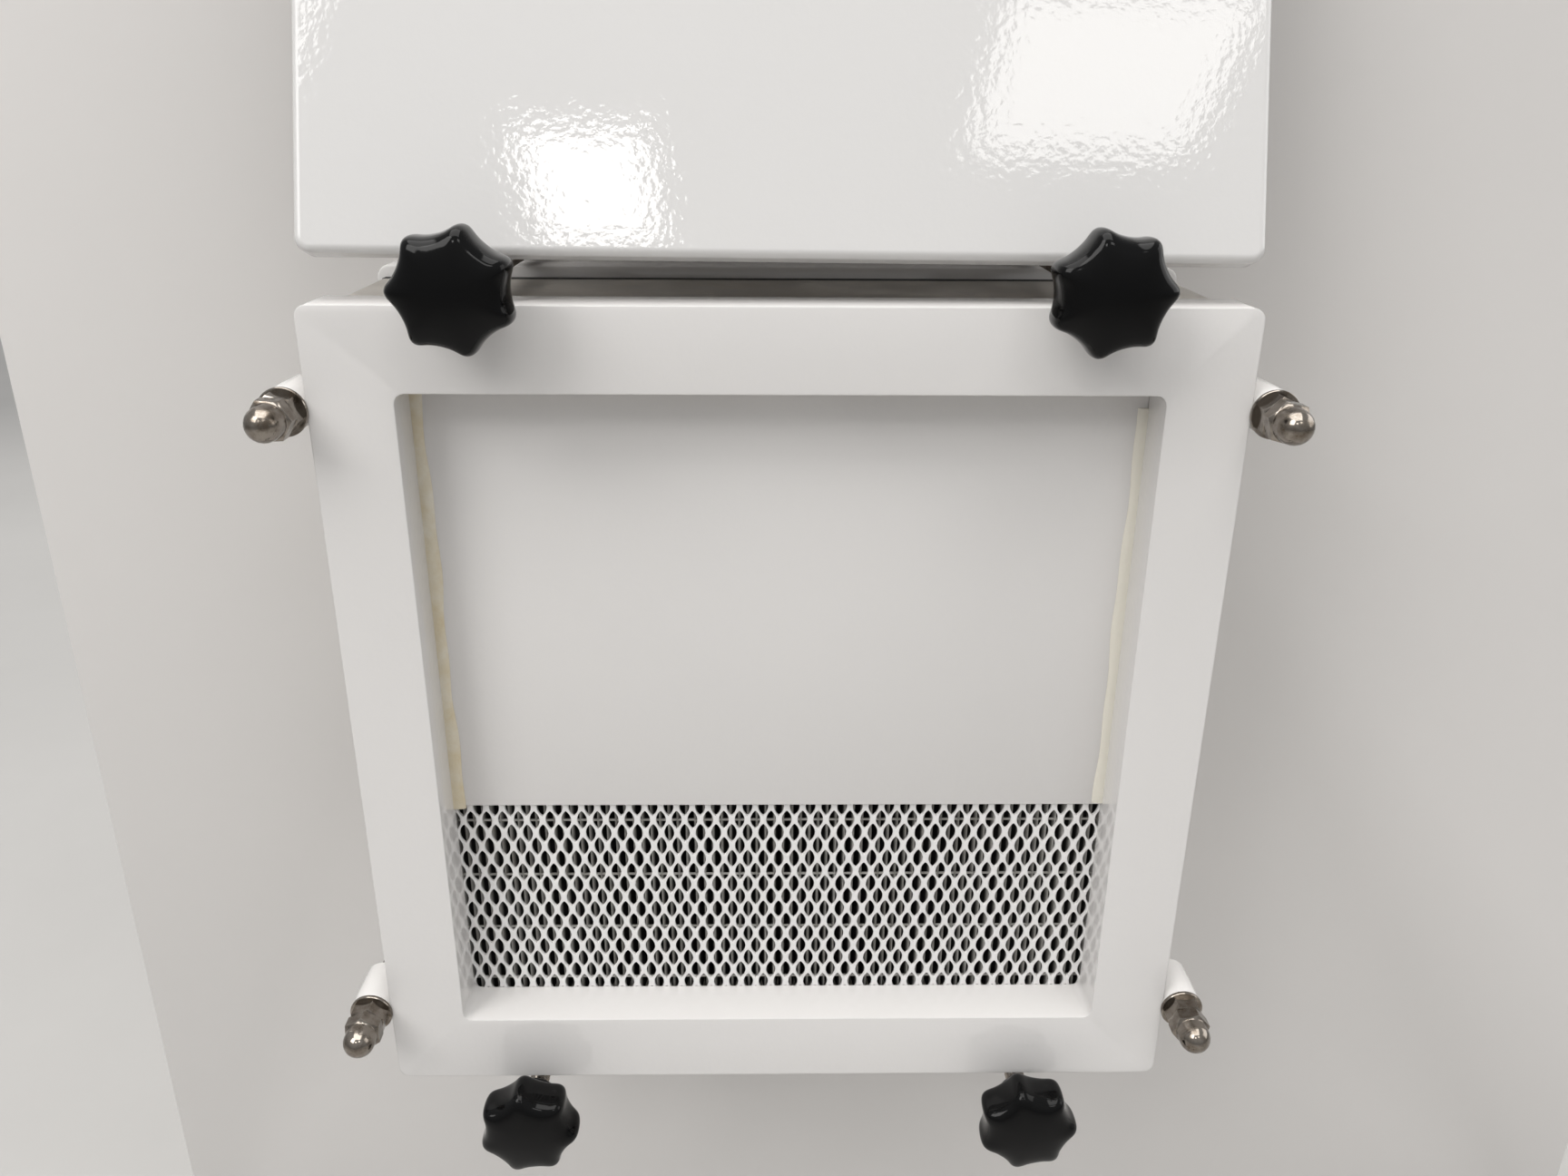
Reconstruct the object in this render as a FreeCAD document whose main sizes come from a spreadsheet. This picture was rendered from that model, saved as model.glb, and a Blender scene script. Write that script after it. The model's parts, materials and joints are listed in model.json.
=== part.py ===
"""A closed-front biological safety cabinet on a stand, with a HEPA inlet on its left side.

Row frame in millimetres: +X to the operator's right, +Y away from the operator, +Z up.
The origin is on the floor under the middle of the whole cabinet.
"""

import FreeCAD, Part

import math
import os
import re

import Sketcher

DIMENSIONS = {
    # Welded shell
    "sheet_gauge": 3,
    "body_width": 1100,
    "body_depth": 760,
    "body_bottom": 740,
    "body_top": 1700,
    "left_x": -514,
    "front_y": -355,
    "apron_top": 900,
    "header_bottom": 1560,
    "window_slope": 12,
    # Stand
    "tube_size": 40,
    "tube_wall": 3,
    "stand_inset": 20,
    "leg_bottom": 45,
    "foot_radius": 25,
    "foot_pad": 12,
    "foot_stem": 6,
    "foot_neck": 12,
    "foot_gap": 8,
    "foot_thread": 20,
    "low_rail": 160,
    # Inlet on the left panel
    "filter_y": 85,
    "filter_z": 1130,
    "inlet_depth": 115,
    "inlet_bore": 261,
    "frame_width": 310,
    "frame_height": 312,
    "frame_depth": 20,
    "frame_border": 28.5,
    "frame_round": 3,
    "casing_size": 305,
    "casing_depth": 68,
    "casing_bore": 281,
    "guard_gauge": 1.5,
    "strand_width": 3.4,
    "mesh_pitch": 12.4,
    "mesh_rise": 12.1,
    "pleat_pitch": 7,
    "plate_drop": 195,
    "plate_gauge": 1.5,
    "bead_size": 3.5,
    "gasket_depth": 5,
    "neck_width": 312,
    "neck_height": 314,
    "neck_wall": 4,
    "neck_round": 5,
    "pleat_fold": 9,
    "media_front": 1,
    "media_back": 2,
    # Fasteners of the inlet
    "stud_radius": 4,
    "boss_radius": 8,
    "boss_offset": 162.6,
    "boss_upper": 34.4,
    "boss_lower": 278.7,
    "washer_radius": 8.3,
    "washer_gauge": 1.6,
    "nut_flats": 13,
    "nut_height": 6.5,
    "cap_radius": 6.1,
    "cap_height": 15,
    "cap_hex": 6,
    "cap_socket": 8,
    "chamfer_run": 1.7,
    "chamfer_rim": 0.13,
    "stud_play": 0.2,
    "boss_play": 0.3,
    "knob_stud_tip": 14,
    "knob_spread": 99.4,
    "knob_outside": 7.2,
    # Star knobs
    "knob_radius": 20,
    "knob_height": 26.5,
    "hub_radius": 8.5,
    "hub_height": 7,
    "crown_radius": 16,
    "crown_height": 4,
    "crown_slope": 6,
    "thread_depth": 16,
    "knob_gap": 2,
    "knob_bore": 4.05,
    "scallop_radius": 11.2,
    "scallop_centre": 27.4,
    # Parked cover
    "cover_height": 312,
    "cover_rim": 8,
    "cover_gauge": 1.5,
    "cover_return": 6,
    "cover_corner": 5,
    "cover_round": 2.5,
    "foam_width": 14,
    "cover_lean": 18.9,
    "cover_askew": 0.4,
    "cover_set_back": 6,
    "cover_lift": 14.6,
    # Window
    "surround_border": 40,
    "window_side": 20,
    "window_border": 50,
    "window_gap": 4,
    "window_depth": 22,
    "window_foot": 8,
    "window_head": 655,
    "rail_foot": 664,
    "glass_gauge": 8,
    "glass_lap": 12,
    "glass_set_in": 6,
    "window_stud": 12,
    "window_knob_inset": 90,
    "seal_side": 8,
    "seal_end": 6,
    "seal_width": 14,
    "seal_gap": 0.3,
    "surround_end": 1,
    "port_bore": 101.5,
    "port_tube": 108,
    "port_flange": 125,
    "port_flange_depth": 12,
    "port_lip": 4,
    "port_lip_depth": 10,
    "port_tube_depth": 46,
    "port_groove": 3,
    "port_groove_width": 6,
    "port_groove_back": 24,
    "port_clamp_inset": 3,
    "port_clamp_depth": 6,
    "port_spread": 210,
    "port_height": 235,
    "hinge_radius": 6,
    "hinge_pin": 3,
    "hinge_bore": 3.05,
    "hinge_out": 32,
    "hinge_up": 662,
    "hinge_spread": 330,
    "hinge_leaf": 3,
    "hinge_middle": 15,
    "hinge_end": 40,
    "hinge_pin_end": 42,
    "hinge_play": 0.2,
    "leaf_drop": 30,
    "leaf_rise": 10,
    # Work surface
    "tray_height": 860,
    "tray_rim": 12,
    "tray_depth": 20,
    "tray_side_gap": 5,
    "tray_end_gap": 20,
    "tray_lip": 30,
    "tray_skin": 2,
    "tray_hollow": 5,
    "tray_corner": 10,
    "ledge_width": 25,
    "ledge_end": 60,
    # Transfer hatch on the right panel
    "hatch_y": 20,
    "hatch_z": 1080,
    "hatch_bore": 300,
    "hatch_size": 340,
    "hatch_reach": 25,
    "door_gap": 4,
    "door_depth": 20,
    "door_hinge_out": 39,
    "door_hinge_back": 182,
    "door_hinge_spread": 110,
    "door_dish_border": 24,
    "door_skin": 2,
    "lug_half": 12,
    "lug_gauge": 5,
    "barrel_length": 20,
    "door_pin_end": 34,
    "strap_half": 2.5,
    "strap_lap": 4,
    "seal_trim": 4,
    "handle_inset": 130,
    "spindle_boss": 15,
    "spindle_radius": 6,
    "spindle_bore": 6.05,
    "spindle_start": 2,
    "spindle_reach": 8,
    "lever_hub": 14,
    "lever_hub_length": 20,
    "lever_gap": 0.3,
    "lever_arm_out": 10,
    "lever_arm_gauge": 12,
    "lever_arm_width": 22,
    "lever_length": 105,
    # Exhaust on the roof
    "exhaust_y": 100,
    "exhaust_size": 560,
    "exhaust_height": 300,
    "exhaust_bore": 460,
    "roof_filter": 540,
    "roof_filter_height": 90,
    "roof_filter_gap": 4,
    "roof_case_border": 40,
    "pack_inset": 6,
    "fan_offset": 120,
    "fan_radius": 110,
    "fan_bottom": 1896,
    "fan_height": 58,
    "fan_eye_inset": 42,
    "fan_plate": 3,
    "fan_hub": 16,
    "fan_hub_drop": 24,
    "fan_shaft": 6,
    "fan_shaft_bore": 6.05,
    "fan_shaft_reach": 18,
    "motor_radius": 50,
    "motor_gap": 4,
    "motor_bore_depth": 20,
    "shroud_throat": 45,
    "shroud_gauge": 2,
    "shroud_shoulder": 35,
    "shroud_rise": 8,
    "shroud_edge": 12,
    "blade_root": 48,
    "blade_root_drop": 16,
    "blade_knee": 80,
    "blade_knee_drop": 4,
    "blade_tip_inset": 2,
    "blade_tip_rise": 22,
    "blade_gauge": 2.5,
    "spigot_offset": 130,
    "spigot_radius": 100,
    "spigot_height": 60,
    "spigot_wall": 3,
    "spigot_flange": 30,
    "spigot_flange_gauge": 4,
    # Controls in the header
    "panel_z": 1628,
    "gauge_x": 380,
    "gauge_radius": 58,
    "switch_x": 380,
    "switch_stem": 6,
    "switch_bore": 6.3,
    "button_x": 290,
    "button_pitch": 60,
    "lamp_radius": 8,
    "lamp_rim": 3,
    "lamp_barrel": 30,
    "lamp_cap": 7,
    "gauge_can": 40,
    "gauge_can_depth": 40,
    "gauge_bezel": 14,
    "gauge_rim": 7,
    "gauge_well": 13,
    "dial_gauge": 1,
    "lens_gauge": 2,
    "dial_play": 1,
    "needle_boss": 5,
    "needle_boss_depth": 3,
    "needle_length": 44,
    "needle_width": 2,
    "needle_gauge": 1,
    "switch_collar": 26,
    "switch_collar_depth": 6,
    "switch_disc": 20,
    "switch_disc_depth": 8,
    "switch_reach": 8.3,
    "switch_stem_length": 26,
    "switch_bar_half": 5,
    "switch_bar_length": 38,
    "switch_bar_depth": 10,
    "button_flange": 16,
    "button_flange_depth": 4,
    "button_barrel": 13,
    "button_barrel_depth": 28,
    "button_bore": 11.3,
    "button_bore_depth": 24,
    "button_cap": 11.25,
    "button_cap_depth": 18,
    "button_proud": 9,
    "header_depth": 110,
    "header_skin": 2,
    "light_half": 450,
    "light_radius": 8,
    "light_set_back": 45,
    "light_pitch": 36,
    "light_drop": 20,
    "holder_width": 15,
    "holder_front": 30,
    "holder_back": 96,
    "holder_height": 32,
    # How far a cutting piece runs past what it cuts
    "cut_past": 1,
}

ALIAS = re.compile(r"\b[a-z]+(?:_[a-z]+)+\b")

RIGHT_X = "(left_x + body_width)"
BACK_Y = "(front_y + body_depth)"
MIDDLE_X = "(left_x + body_width / 2)"
INNER_LEFT = "(left_x + sheet_gauge)"
INNER_RIGHT = "(left_x + body_width - sheet_gauge)"
INNER_BACK = "(front_y + body_depth - sheet_gauge)"
HEADER_Y = "(front_y + (header_bottom - apron_top) * tan(window_slope * 1 deg))"
SLOPE_LENGTH = "((header_bottom - apron_top) / cos(window_slope * 1 deg))"

FACE_X = "(left_x - inlet_depth)"
FRAME_BACK = "(left_x - inlet_depth + frame_depth)"
CASING_BACK = "(left_x - inlet_depth + frame_depth + casing_depth)"
NECK_FRONT = "(left_x - inlet_depth + frame_depth + casing_depth + gasket_depth)"
FRAME_TOP = "(filter_z + frame_height / 2)"
FRAME_FOOT = "(filter_z - frame_height / 2)"

KNOB_LOBES = 7
BLADES = 9
BUTTONS = ("fan_button", "lamp_button")
LAMP_SPOTS = (2, 3)
NEEDLE_REST = -135

KNOB_UP = "(window_foot + window_border / 2)"
WINDOW_KNOBS = (
    ("left", MIDDLE_X + " - (body_width / 2 - window_knob_inset)"),
    ("right", MIDDLE_X + " + (body_width / 2 - window_knob_inset)"),
)

doc = FreeCAD.newDocument("SafetyCabinet")
sheet = doc.addObject("Spreadsheet::Sheet", "Params")
for row, (alias, value) in enumerate(DIMENSIONS.items(), start=1):
    sheet.set("A%d" % row, alias)
    sheet.set("B%d" % row, str(value))
    sheet.setAlias("B%d" % row, alias)
doc.recompute()

nodes = []


def dim(alias):
    """The number in the sheet under one alias."""
    return float(sheet.get(alias))


def vec(x, y, z):
    return FreeCAD.Vector(x, y, z)


def bind(thing, prop, formula):
    """Tie a property to a formula over the sheet's aliases."""
    thing.setExpression(prop, ALIAS.sub(lambda word: "Params." + word.group(0), str(formula)))


def node(thing, label):
    """Keep an object as one sub-part under its own label."""
    thing.Label = label
    nodes.append(thing)
    return thing


def place(thing, x="0", y="0", z="0", rotation=None):
    """Set an object's turn, and tie its place to three formulas."""
    if rotation is not None:
        thing.Placement = FreeCAD.Placement(vec(0, 0, 0), rotation)
    for axis, formula in zip("xyz", (x, y, z)):
        bind(thing, "Placement.Base." + axis, formula)
    return thing


# Primitives and booleans

def block(name, x, y, z):
    """A box between two planes along each axis; every pair holds two formulas."""
    solid = doc.addObject("Part::Box", name)
    for prop, axis, (low, high) in zip(("Length", "Width", "Height"), "xyz", (x, y, z)):
        bind(solid, prop, "(%s) - (%s)" % (high, low))
        bind(solid, "Placement.Base." + axis, low)
    return solid


def rod(name, radius, length, start, axis="Z"):
    """A cylinder from a start point along one of the row's axes."""
    along = {"X": vec(1, 0, 0), "Y": vec(0, 1, 0), "Z": vec(0, 0, 1)}[axis]
    solid = doc.addObject("Part::Cylinder", name)
    place(solid, *start, rotation=FreeCAD.Rotation(vec(0, 0, 1), along))
    bind(solid, "Radius", radius)
    bind(solid, "Height", length)
    return solid


def fused(name, *pieces):
    joined = doc.addObject("Part::MultiFuse", name)
    joined.Shapes = list(pieces)
    return joined


def cut(name, base, *tools):
    result = doc.addObject("Part::Cut", name)
    result.Base = base
    result.Tool = tools[0] if len(tools) == 1 else fused(name + "_tools", *tools)
    return result


def group(name, *solids):
    """Separate solids of one kind, kept side by side in one sub-part."""
    together = doc.addObject("Part::Compound", name)
    together.Links = list(solids)
    return together


def ring(name, outer, inner, length, start, axis):
    bore = rod(name + "_bore", inner, "%s + 2 * cut_past" % length, shifted(start, axis, "-cut_past"), axis)
    return cut(name, rod(name + "_body", outer, length, start, axis), bore)


def shifted(start, axis, formula):
    """A start point moved along one axis by a formula."""
    moved = list(start)
    index = "XYZ".index(axis)
    moved[index] = "%s + (%s)" % (moved[index], formula)
    return tuple(moved)


def square_ring(name, x, centre, outer, inner):
    """A square ring across X: two X planes, a (y, z) centre, and (width, height) pairs."""
    def sides(size):
        return [
            ("%s - (%s) / 2" % (middle, side), "%s + (%s) / 2" % (middle, side))
            for middle, side in zip(centre, size)
        ]
    body = block(name + "_body", x, *sides(outer))
    hole = block(name + "_hole", ("%s - cut_past" % x[0], "%s + cut_past" % x[1]), *sides(inner))
    return cut(name, body, hole)


# Bodies made from sketches

def new_body(name):
    return doc.addObject("PartDesign::Body", name)


def sketch_on(body, role, name, offset="0"):
    """A sketch on one of the body's own origin planes, moved along its normal."""
    sketch = body.newObject("Sketcher::SketchObject", name)
    plane = next(item for item in body.Origin.OriginFeatures if item.Role == role)
    sketch.AttachmentSupport = [(plane, "")]
    sketch.MapMode = "FlatFace"
    bind(sketch, "AttachmentOffset.Base.z", offset)
    return sketch


def hold(sketch, kind, geometry, point, formula):
    index = sketch.addConstraint(Sketcher.Constraint(kind, -1, 1, geometry, point, 1.0))
    bind(sketch, "Constraints[%d]" % index, formula)


def outline(sketch, corners):
    """A closed outline of straight lines whose corners are pairs of formulas."""
    count = len(corners)
    first = sketch.GeometryCount
    turn = 2 * math.pi / count
    spots = [vec(math.cos(turn * k), math.sin(turn * k), 0) for k in range(count)]
    for k in range(count):
        sketch.addGeometry(Part.LineSegment(spots[k], spots[(k + 1) % count]))
    for k in range(count):
        following = first + (k + 1) % count
        sketch.addConstraint(Sketcher.Constraint("Coincident", first + k, 2, following, 1))
    for k, (across, up) in enumerate(corners):
        hold(sketch, "DistanceX", first + k, 1, across)
        hold(sketch, "DistanceY", first + k, 1, up)


def rectangle(sketch, across, up):
    outline(sketch, [
        (across[0], up[0]), (across[1], up[0]), (across[1], up[1]), (across[0], up[1]),
    ])


def circle(sketch, across, up, radius):
    index = sketch.addGeometry(Part.Circle(vec(1, 1, 0), vec(0, 0, 1), 1.0))
    hold(sketch, "DistanceX", index, 3, across)
    hold(sketch, "DistanceY", index, 3, up)
    size = sketch.addConstraint(Sketcher.Constraint("Radius", index, 1.0))
    bind(sketch, "Constraints[%d]" % size, radius)


def pad(body, sketch, length, reverse=False):
    feature = body.newObject("PartDesign::Pad", sketch.Name + "_pad")
    feature.Profile = sketch
    bind(feature, "Length", length)
    feature.Reversed = reverse
    sketch.Visibility = False
    return feature


def pocket(body, sketch, length=None, reverse=False):
    """A pocket of a stated depth, or right through both ways."""
    feature = body.newObject("PartDesign::Pocket", sketch.Name + "_pocket")
    feature.Profile = sketch
    if length is None:
        feature.Type = "ThroughAll"
        feature.Midplane = True
    else:
        bind(feature, "Length", length)
        feature.Reversed = reverse
    return feature


def revolved(body, name, corners):
    """A turned form about the body's Z axis from (radius, height) corners."""
    sketch = sketch_on(body, "XZ_Plane", name)
    outline(sketch, corners)
    feature = body.newObject("PartDesign::Revolution", name + "_turned")
    feature.Profile = sketch
    feature.ReferenceAxis = (sketch, ["V_Axis"])
    feature.Angle = 360
    return feature


def polar(body, feature, sketch, count):
    pattern = body.newObject("PartDesign::PolarPattern", feature.Name + "_round")
    pattern.Originals = [feature]
    pattern.Axis = (sketch, ["N_Axis"])
    pattern.Angle = 360
    pattern.Occurrences = count
    body.Tip = pattern
    return pattern


def finished_edges(body, kind, base, size_name, formula, chosen):
    """A fillet or chamfer on every edge of base for which chosen(edge) holds."""
    doc.recompute()
    names = ["Edge%d" % (k + 1) for k, edge in enumerate(base.Shape.Edges) if chosen(edge)]
    feature = body.newObject("PartDesign::" + kind, base.Name + "_" + kind.lower())
    feature.Base = (base, names)
    bind(feature, size_name, formula)
    return feature


def runs_along(edge, axis):
    """True for a straight edge parallel to one axis."""
    if len(edge.Vertexes) != 2:
        return False
    step = edge.Vertexes[1].Point - edge.Vertexes[0].Point
    return abs(abs(step.dot(axis)) - step.Length) < 1e-6 and edge.Curve.TypeId == "Part::GeomLine"


def faced_left(edge, x):
    """True for an edge that lies wholly in the plane at x."""
    box = edge.BoundBox
    return abs(box.XMin - x) < 1e-6 and abs(box.XMax - x) < 1e-6


# The stand

def stand_frame():
    """Four square-tube legs with rails under the cabinet and above the floor."""
    left = "(left_x + stand_inset)"
    right = "(%s - stand_inset)" % RIGHT_X
    front = "(front_y + stand_inset)"
    back = "(%s - stand_inset)" % BACK_Y
    corners = [
        ((left, left + " + tube_size"), (front, front + " + tube_size")),
        ((right + " - tube_size", right), (front, front + " + tube_size")),
        ((left, left + " + tube_size"), (back + " - tube_size", back)),
        ((right + " - tube_size", right), (back + " - tube_size", back)),
    ]
    tubes = []
    cores = []
    for k, (x, y) in enumerate(corners):
        tubes.append(block("leg_%d" % k, x, y, ("leg_bottom", "body_bottom")))
        inner_x = (x[0] + " + tube_wall", x[1] + " - tube_wall")
        inner_y = (y[0] + " + tube_wall", y[1] + " - tube_wall")
        core_z = ("leg_bottom + tube_wall", "body_bottom - tube_wall")
        cores.append(block("leg_core_%d" % k, inner_x, inner_y, core_z))
        middle = ("%s + tube_size / 2" % x[0], "%s + tube_size / 2" % y[0], "leg_bottom - cut_past")
        cores.append(rod("foot_hole_%d" % k, "foot_stem", "tube_wall + 2 * cut_past", middle))
    top = ("body_bottom - tube_size", "body_bottom")
    low = ("low_rail", "low_rail + tube_size")
    across = (left + " + tube_size", right + " - tube_size")
    deep = (front + " + tube_size", back + " - tube_size")
    rails = {
        "front_top": (across, corners[0][1], top),
        "back_top": (across, corners[2][1], top),
        "left_top": (corners[0][0], deep, top),
        "right_top": (corners[1][0], deep, top),
        "back_low": (across, corners[2][1], low),
        "left_low": (corners[0][0], deep, low),
        "right_low": (corners[1][0], deep, low),
    }
    for name, spans in rails.items():
        tubes.append(block(name, *spans))
        hollow = [
            span if span in (across, deep) else (span[0] + " + tube_wall", span[1] + " - tube_wall")
            for span in spans
        ]
        cores.append(block(name + "_core", *hollow))
    frame = cut("stand", fused("stand_tubes", *tubes), *cores)
    node(frame, "stand_frame")

    feet = []
    for k, (x, y) in enumerate(corners):
        spot = ("%s + tube_size / 2" % x[0], "%s + tube_size / 2" % y[0])
        disc = rod("pad_%d" % k, "foot_radius", "foot_pad", spot + ("0",))
        neck = rod("neck_%d" % k, "foot_neck", "leg_bottom - foot_pad - foot_gap", spot + ("foot_pad",))
        stem = rod("stem_%d" % k, "foot_stem", "leg_bottom + foot_thread - foot_pad", spot + ("foot_pad",))
        feet.append(fused("foot_%d" % k, disc, neck, stem))
    node(group("feet", *feet), "levelling_feet")


# The welded shell

def side_profile(sketch):
    outline(sketch, [
        ("front_y", "body_bottom"),
        (BACK_Y, "body_bottom"),
        (BACK_Y, "body_top"),
        (HEADER_Y, "body_top"),
        (HEADER_Y, "header_bottom"),
        ("front_y", "apron_top"),
    ])


def side_panel(label, inner_face, outer_face, hole_centre, hole):
    """A side panel cut to the sloping front, with a square opening."""
    body = new_body(label + "_body")
    profile = sketch_on(body, "YZ_Plane", label + "_profile", inner_face)
    side_profile(profile)
    pad(body, profile, "(%s) - (%s)" % (outer_face, inner_face))
    opening = sketch_on(body, "YZ_Plane", label + "_opening", inner_face)
    y, z = hole_centre
    rectangle(opening, ("%s - %s / 2" % (y, hole), "%s + %s / 2" % (y, hole)),
              ("%s - %s / 2" % (z, hole), "%s + %s / 2" % (z, hole)))
    pocket(body, opening)
    node(body, label)


def shell():
    inside = (INNER_LEFT, INNER_RIGHT)
    side_panel("left_side_panel", "left_x", INNER_LEFT, ("filter_y", "filter_z"), "inlet_bore")
    side_panel("right_side_panel", INNER_RIGHT, RIGHT_X, ("hatch_y", "hatch_z"), "hatch_bore")

    pan = block("pan", inside, ("front_y", INNER_BACK), ("body_bottom", "body_bottom + sheet_gauge"))
    ledge_top = "(tray_height - tray_depth)"
    ledge_z = (ledge_top + " - sheet_gauge", ledge_top)
    web_z = ("body_bottom + sheet_gauge", ledge_top)
    ledges = []
    for name, x, web in (
        ("left", (INNER_LEFT, INNER_LEFT + " + ledge_width"),
         (INNER_LEFT, INNER_LEFT + " + sheet_gauge")),
        ("right", (INNER_RIGHT + " - ledge_width", INNER_RIGHT),
         (INNER_RIGHT + " - sheet_gauge", INNER_RIGHT)),
    ):
        y = ("front_y + ledge_end", "%s - ledge_end" % BACK_Y)
        ledges.append(block("ledge_" + name, x, y, ledge_z))
        ledges.append(block("web_" + name, web, y, web_z))
    node(fused("base", pan, *ledges), "base_pan")

    rear_z = ("body_bottom", "body_top")
    node(block("rear", inside, (INNER_BACK, BACK_Y), rear_z), "rear_panel")
    roof = block("roof", inside, (HEADER_Y, INNER_BACK), ("body_top - sheet_gauge", "body_top"))
    duct = block(
        "roof_hole", (MIDDLE_X + " - exhaust_bore / 2", MIDDLE_X + " + exhaust_bore / 2"),
        ("exhaust_y - exhaust_bore / 2", "exhaust_y + exhaust_bore / 2"),
        ("body_top - sheet_gauge - cut_past", "body_top + cut_past"))
    node(cut("roof_cut", roof, duct), "roof_panel")
    apron_z = ("body_bottom + sheet_gauge", "apron_top")
    node(block("apron", inside, ("front_y", "front_y + sheet_gauge"), apron_z), "front_apron")


def header():
    """The header above the window, with the box behind it for the controls and the light."""
    fascia_y = (HEADER_Y, HEADER_Y + " + sheet_gauge")
    fascia_z = ("header_bottom", "body_top - sheet_gauge")
    fascia = block("fascia", (INNER_LEFT, INNER_RIGHT), fascia_y, fascia_z)
    hole_y, hole_depth = HEADER_Y + " - cut_past", "sheet_gauge + 2 * cut_past"
    holes = [
        rod("gauge_hole", "gauge_can", hole_depth, (MIDDLE_X + " - gauge_x", hole_y, "panel_z"), "Y"),
        rod("switch_hole", "switch_bore", hole_depth, (MIDDLE_X + " + switch_x", hole_y, "panel_z"), "Y"),
    ]
    for k in range(len(BUTTONS) + len(LAMP_SPOTS)):
        radius = "lamp_radius" if k in LAMP_SPOTS else "button_barrel"
        holes.append(rod("control_hole_%d" % k, radius, hole_depth, (control_x(k), hole_y, "panel_z"), "Y"))
    node(cut("fascia_cut", fascia, *holes), "header_fascia")

    box_back = HEADER_Y + " + header_depth"
    floor_y = (HEADER_Y + " + sheet_gauge", box_back)
    soffit = block("soffit", (INNER_LEFT, INNER_RIGHT), floor_y,
                   ("header_bottom", "header_bottom + header_skin"))
    wall = block("box_wall", (INNER_LEFT, INNER_RIGHT), (box_back + " - header_skin", box_back),
                 ("header_bottom", "body_top - sheet_gauge"))
    tubes = []
    for k in range(2):
        tube_y = HEADER_Y + " + light_set_back + %d * light_pitch" % k
        start = (MIDDLE_X + " - light_half", tube_y, "header_bottom - light_drop")
        tubes.append(rod("tube_%d" % k, "light_radius", "2 * light_half", start, "X"))
    holders = []
    for k, x in enumerate((MIDDLE_X + " - light_half - holder_width", MIDDLE_X + " + light_half")):
        holders.append(block("holder_%d" % k, (x, x + " + holder_width"),
                             (HEADER_Y + " + holder_front", HEADER_Y + " + holder_back"),
                             ("header_bottom - holder_height", "header_bottom")))
    node(fused("box", soffit, wall, *holders), "instrument_box")
    node(group("lamps", *tubes), "light_tubes")


def work_tray():
    """The dished work surface, which rests on the two ledges."""
    body = new_body("tray")
    outer = sketch_on(body, "XY_Plane", "tray_plan", "tray_height - tray_depth")
    left, right = INNER_LEFT + " + tray_side_gap", INNER_RIGHT + " - tray_side_gap"
    front, back = "front_y + tray_end_gap", BACK_Y + " - tray_end_gap"
    rectangle(outer, (left, right), (front, back))
    pad(body, outer, "tray_depth")
    dish = sketch_on(body, "XY_Plane", "tray_dish", "tray_height")
    rectangle(dish, (left + " + tray_lip", right + " - tray_lip"),
              (front + " + tray_lip", back + " - tray_lip"))
    pocket(body, dish, "tray_rim")
    under = sketch_on(body, "XY_Plane", "tray_under", "tray_height - tray_depth")
    rectangle(under, (left + " + tray_lip - tray_skin", right + " - tray_lip + tray_skin"),
              (front + " + tray_skin", back + " - tray_skin"))
    pocket(body, under, "tray_hollow", reverse=True)
    finished = finished_edges(body, "Fillet", body.Tip, "Radius", "tray_corner",
                              lambda edge: runs_along(edge, vec(0, 0, 1))
                              and edge.BoundBox.ZMax > dim("tray_height") - 1
                              and abs(edge.Length - dim("tray_rim")) < 0.01)
    body.Tip = finished
    node(body, "work_tray")


# The window, built upright and leant back on its lower front edge

def leant(thing, label):
    """Turn a piece of the window about the apron's top front edge."""
    turn = FreeCAD.Rotation(vec(1, 0, 0), -dim("window_slope"))
    place(thing, "0", "front_y", "apron_top", rotation=turn)
    return node(thing, label)


def upright_ring(name, x, y, z, border):
    """A rectangular ring facing the operator, with one border all round."""
    body = block(name + "_body", x, y, z)
    hole = block(name + "_hole", ("%s + %s" % (x[0], border), "%s - %s" % (x[1], border)),
                 (y[0] + " - cut_past", y[1] + " + cut_past"),
                 ("%s + %s" % (z[0], border), "%s - %s" % (z[1], border)))
    return cut(name, body, hole)


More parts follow.
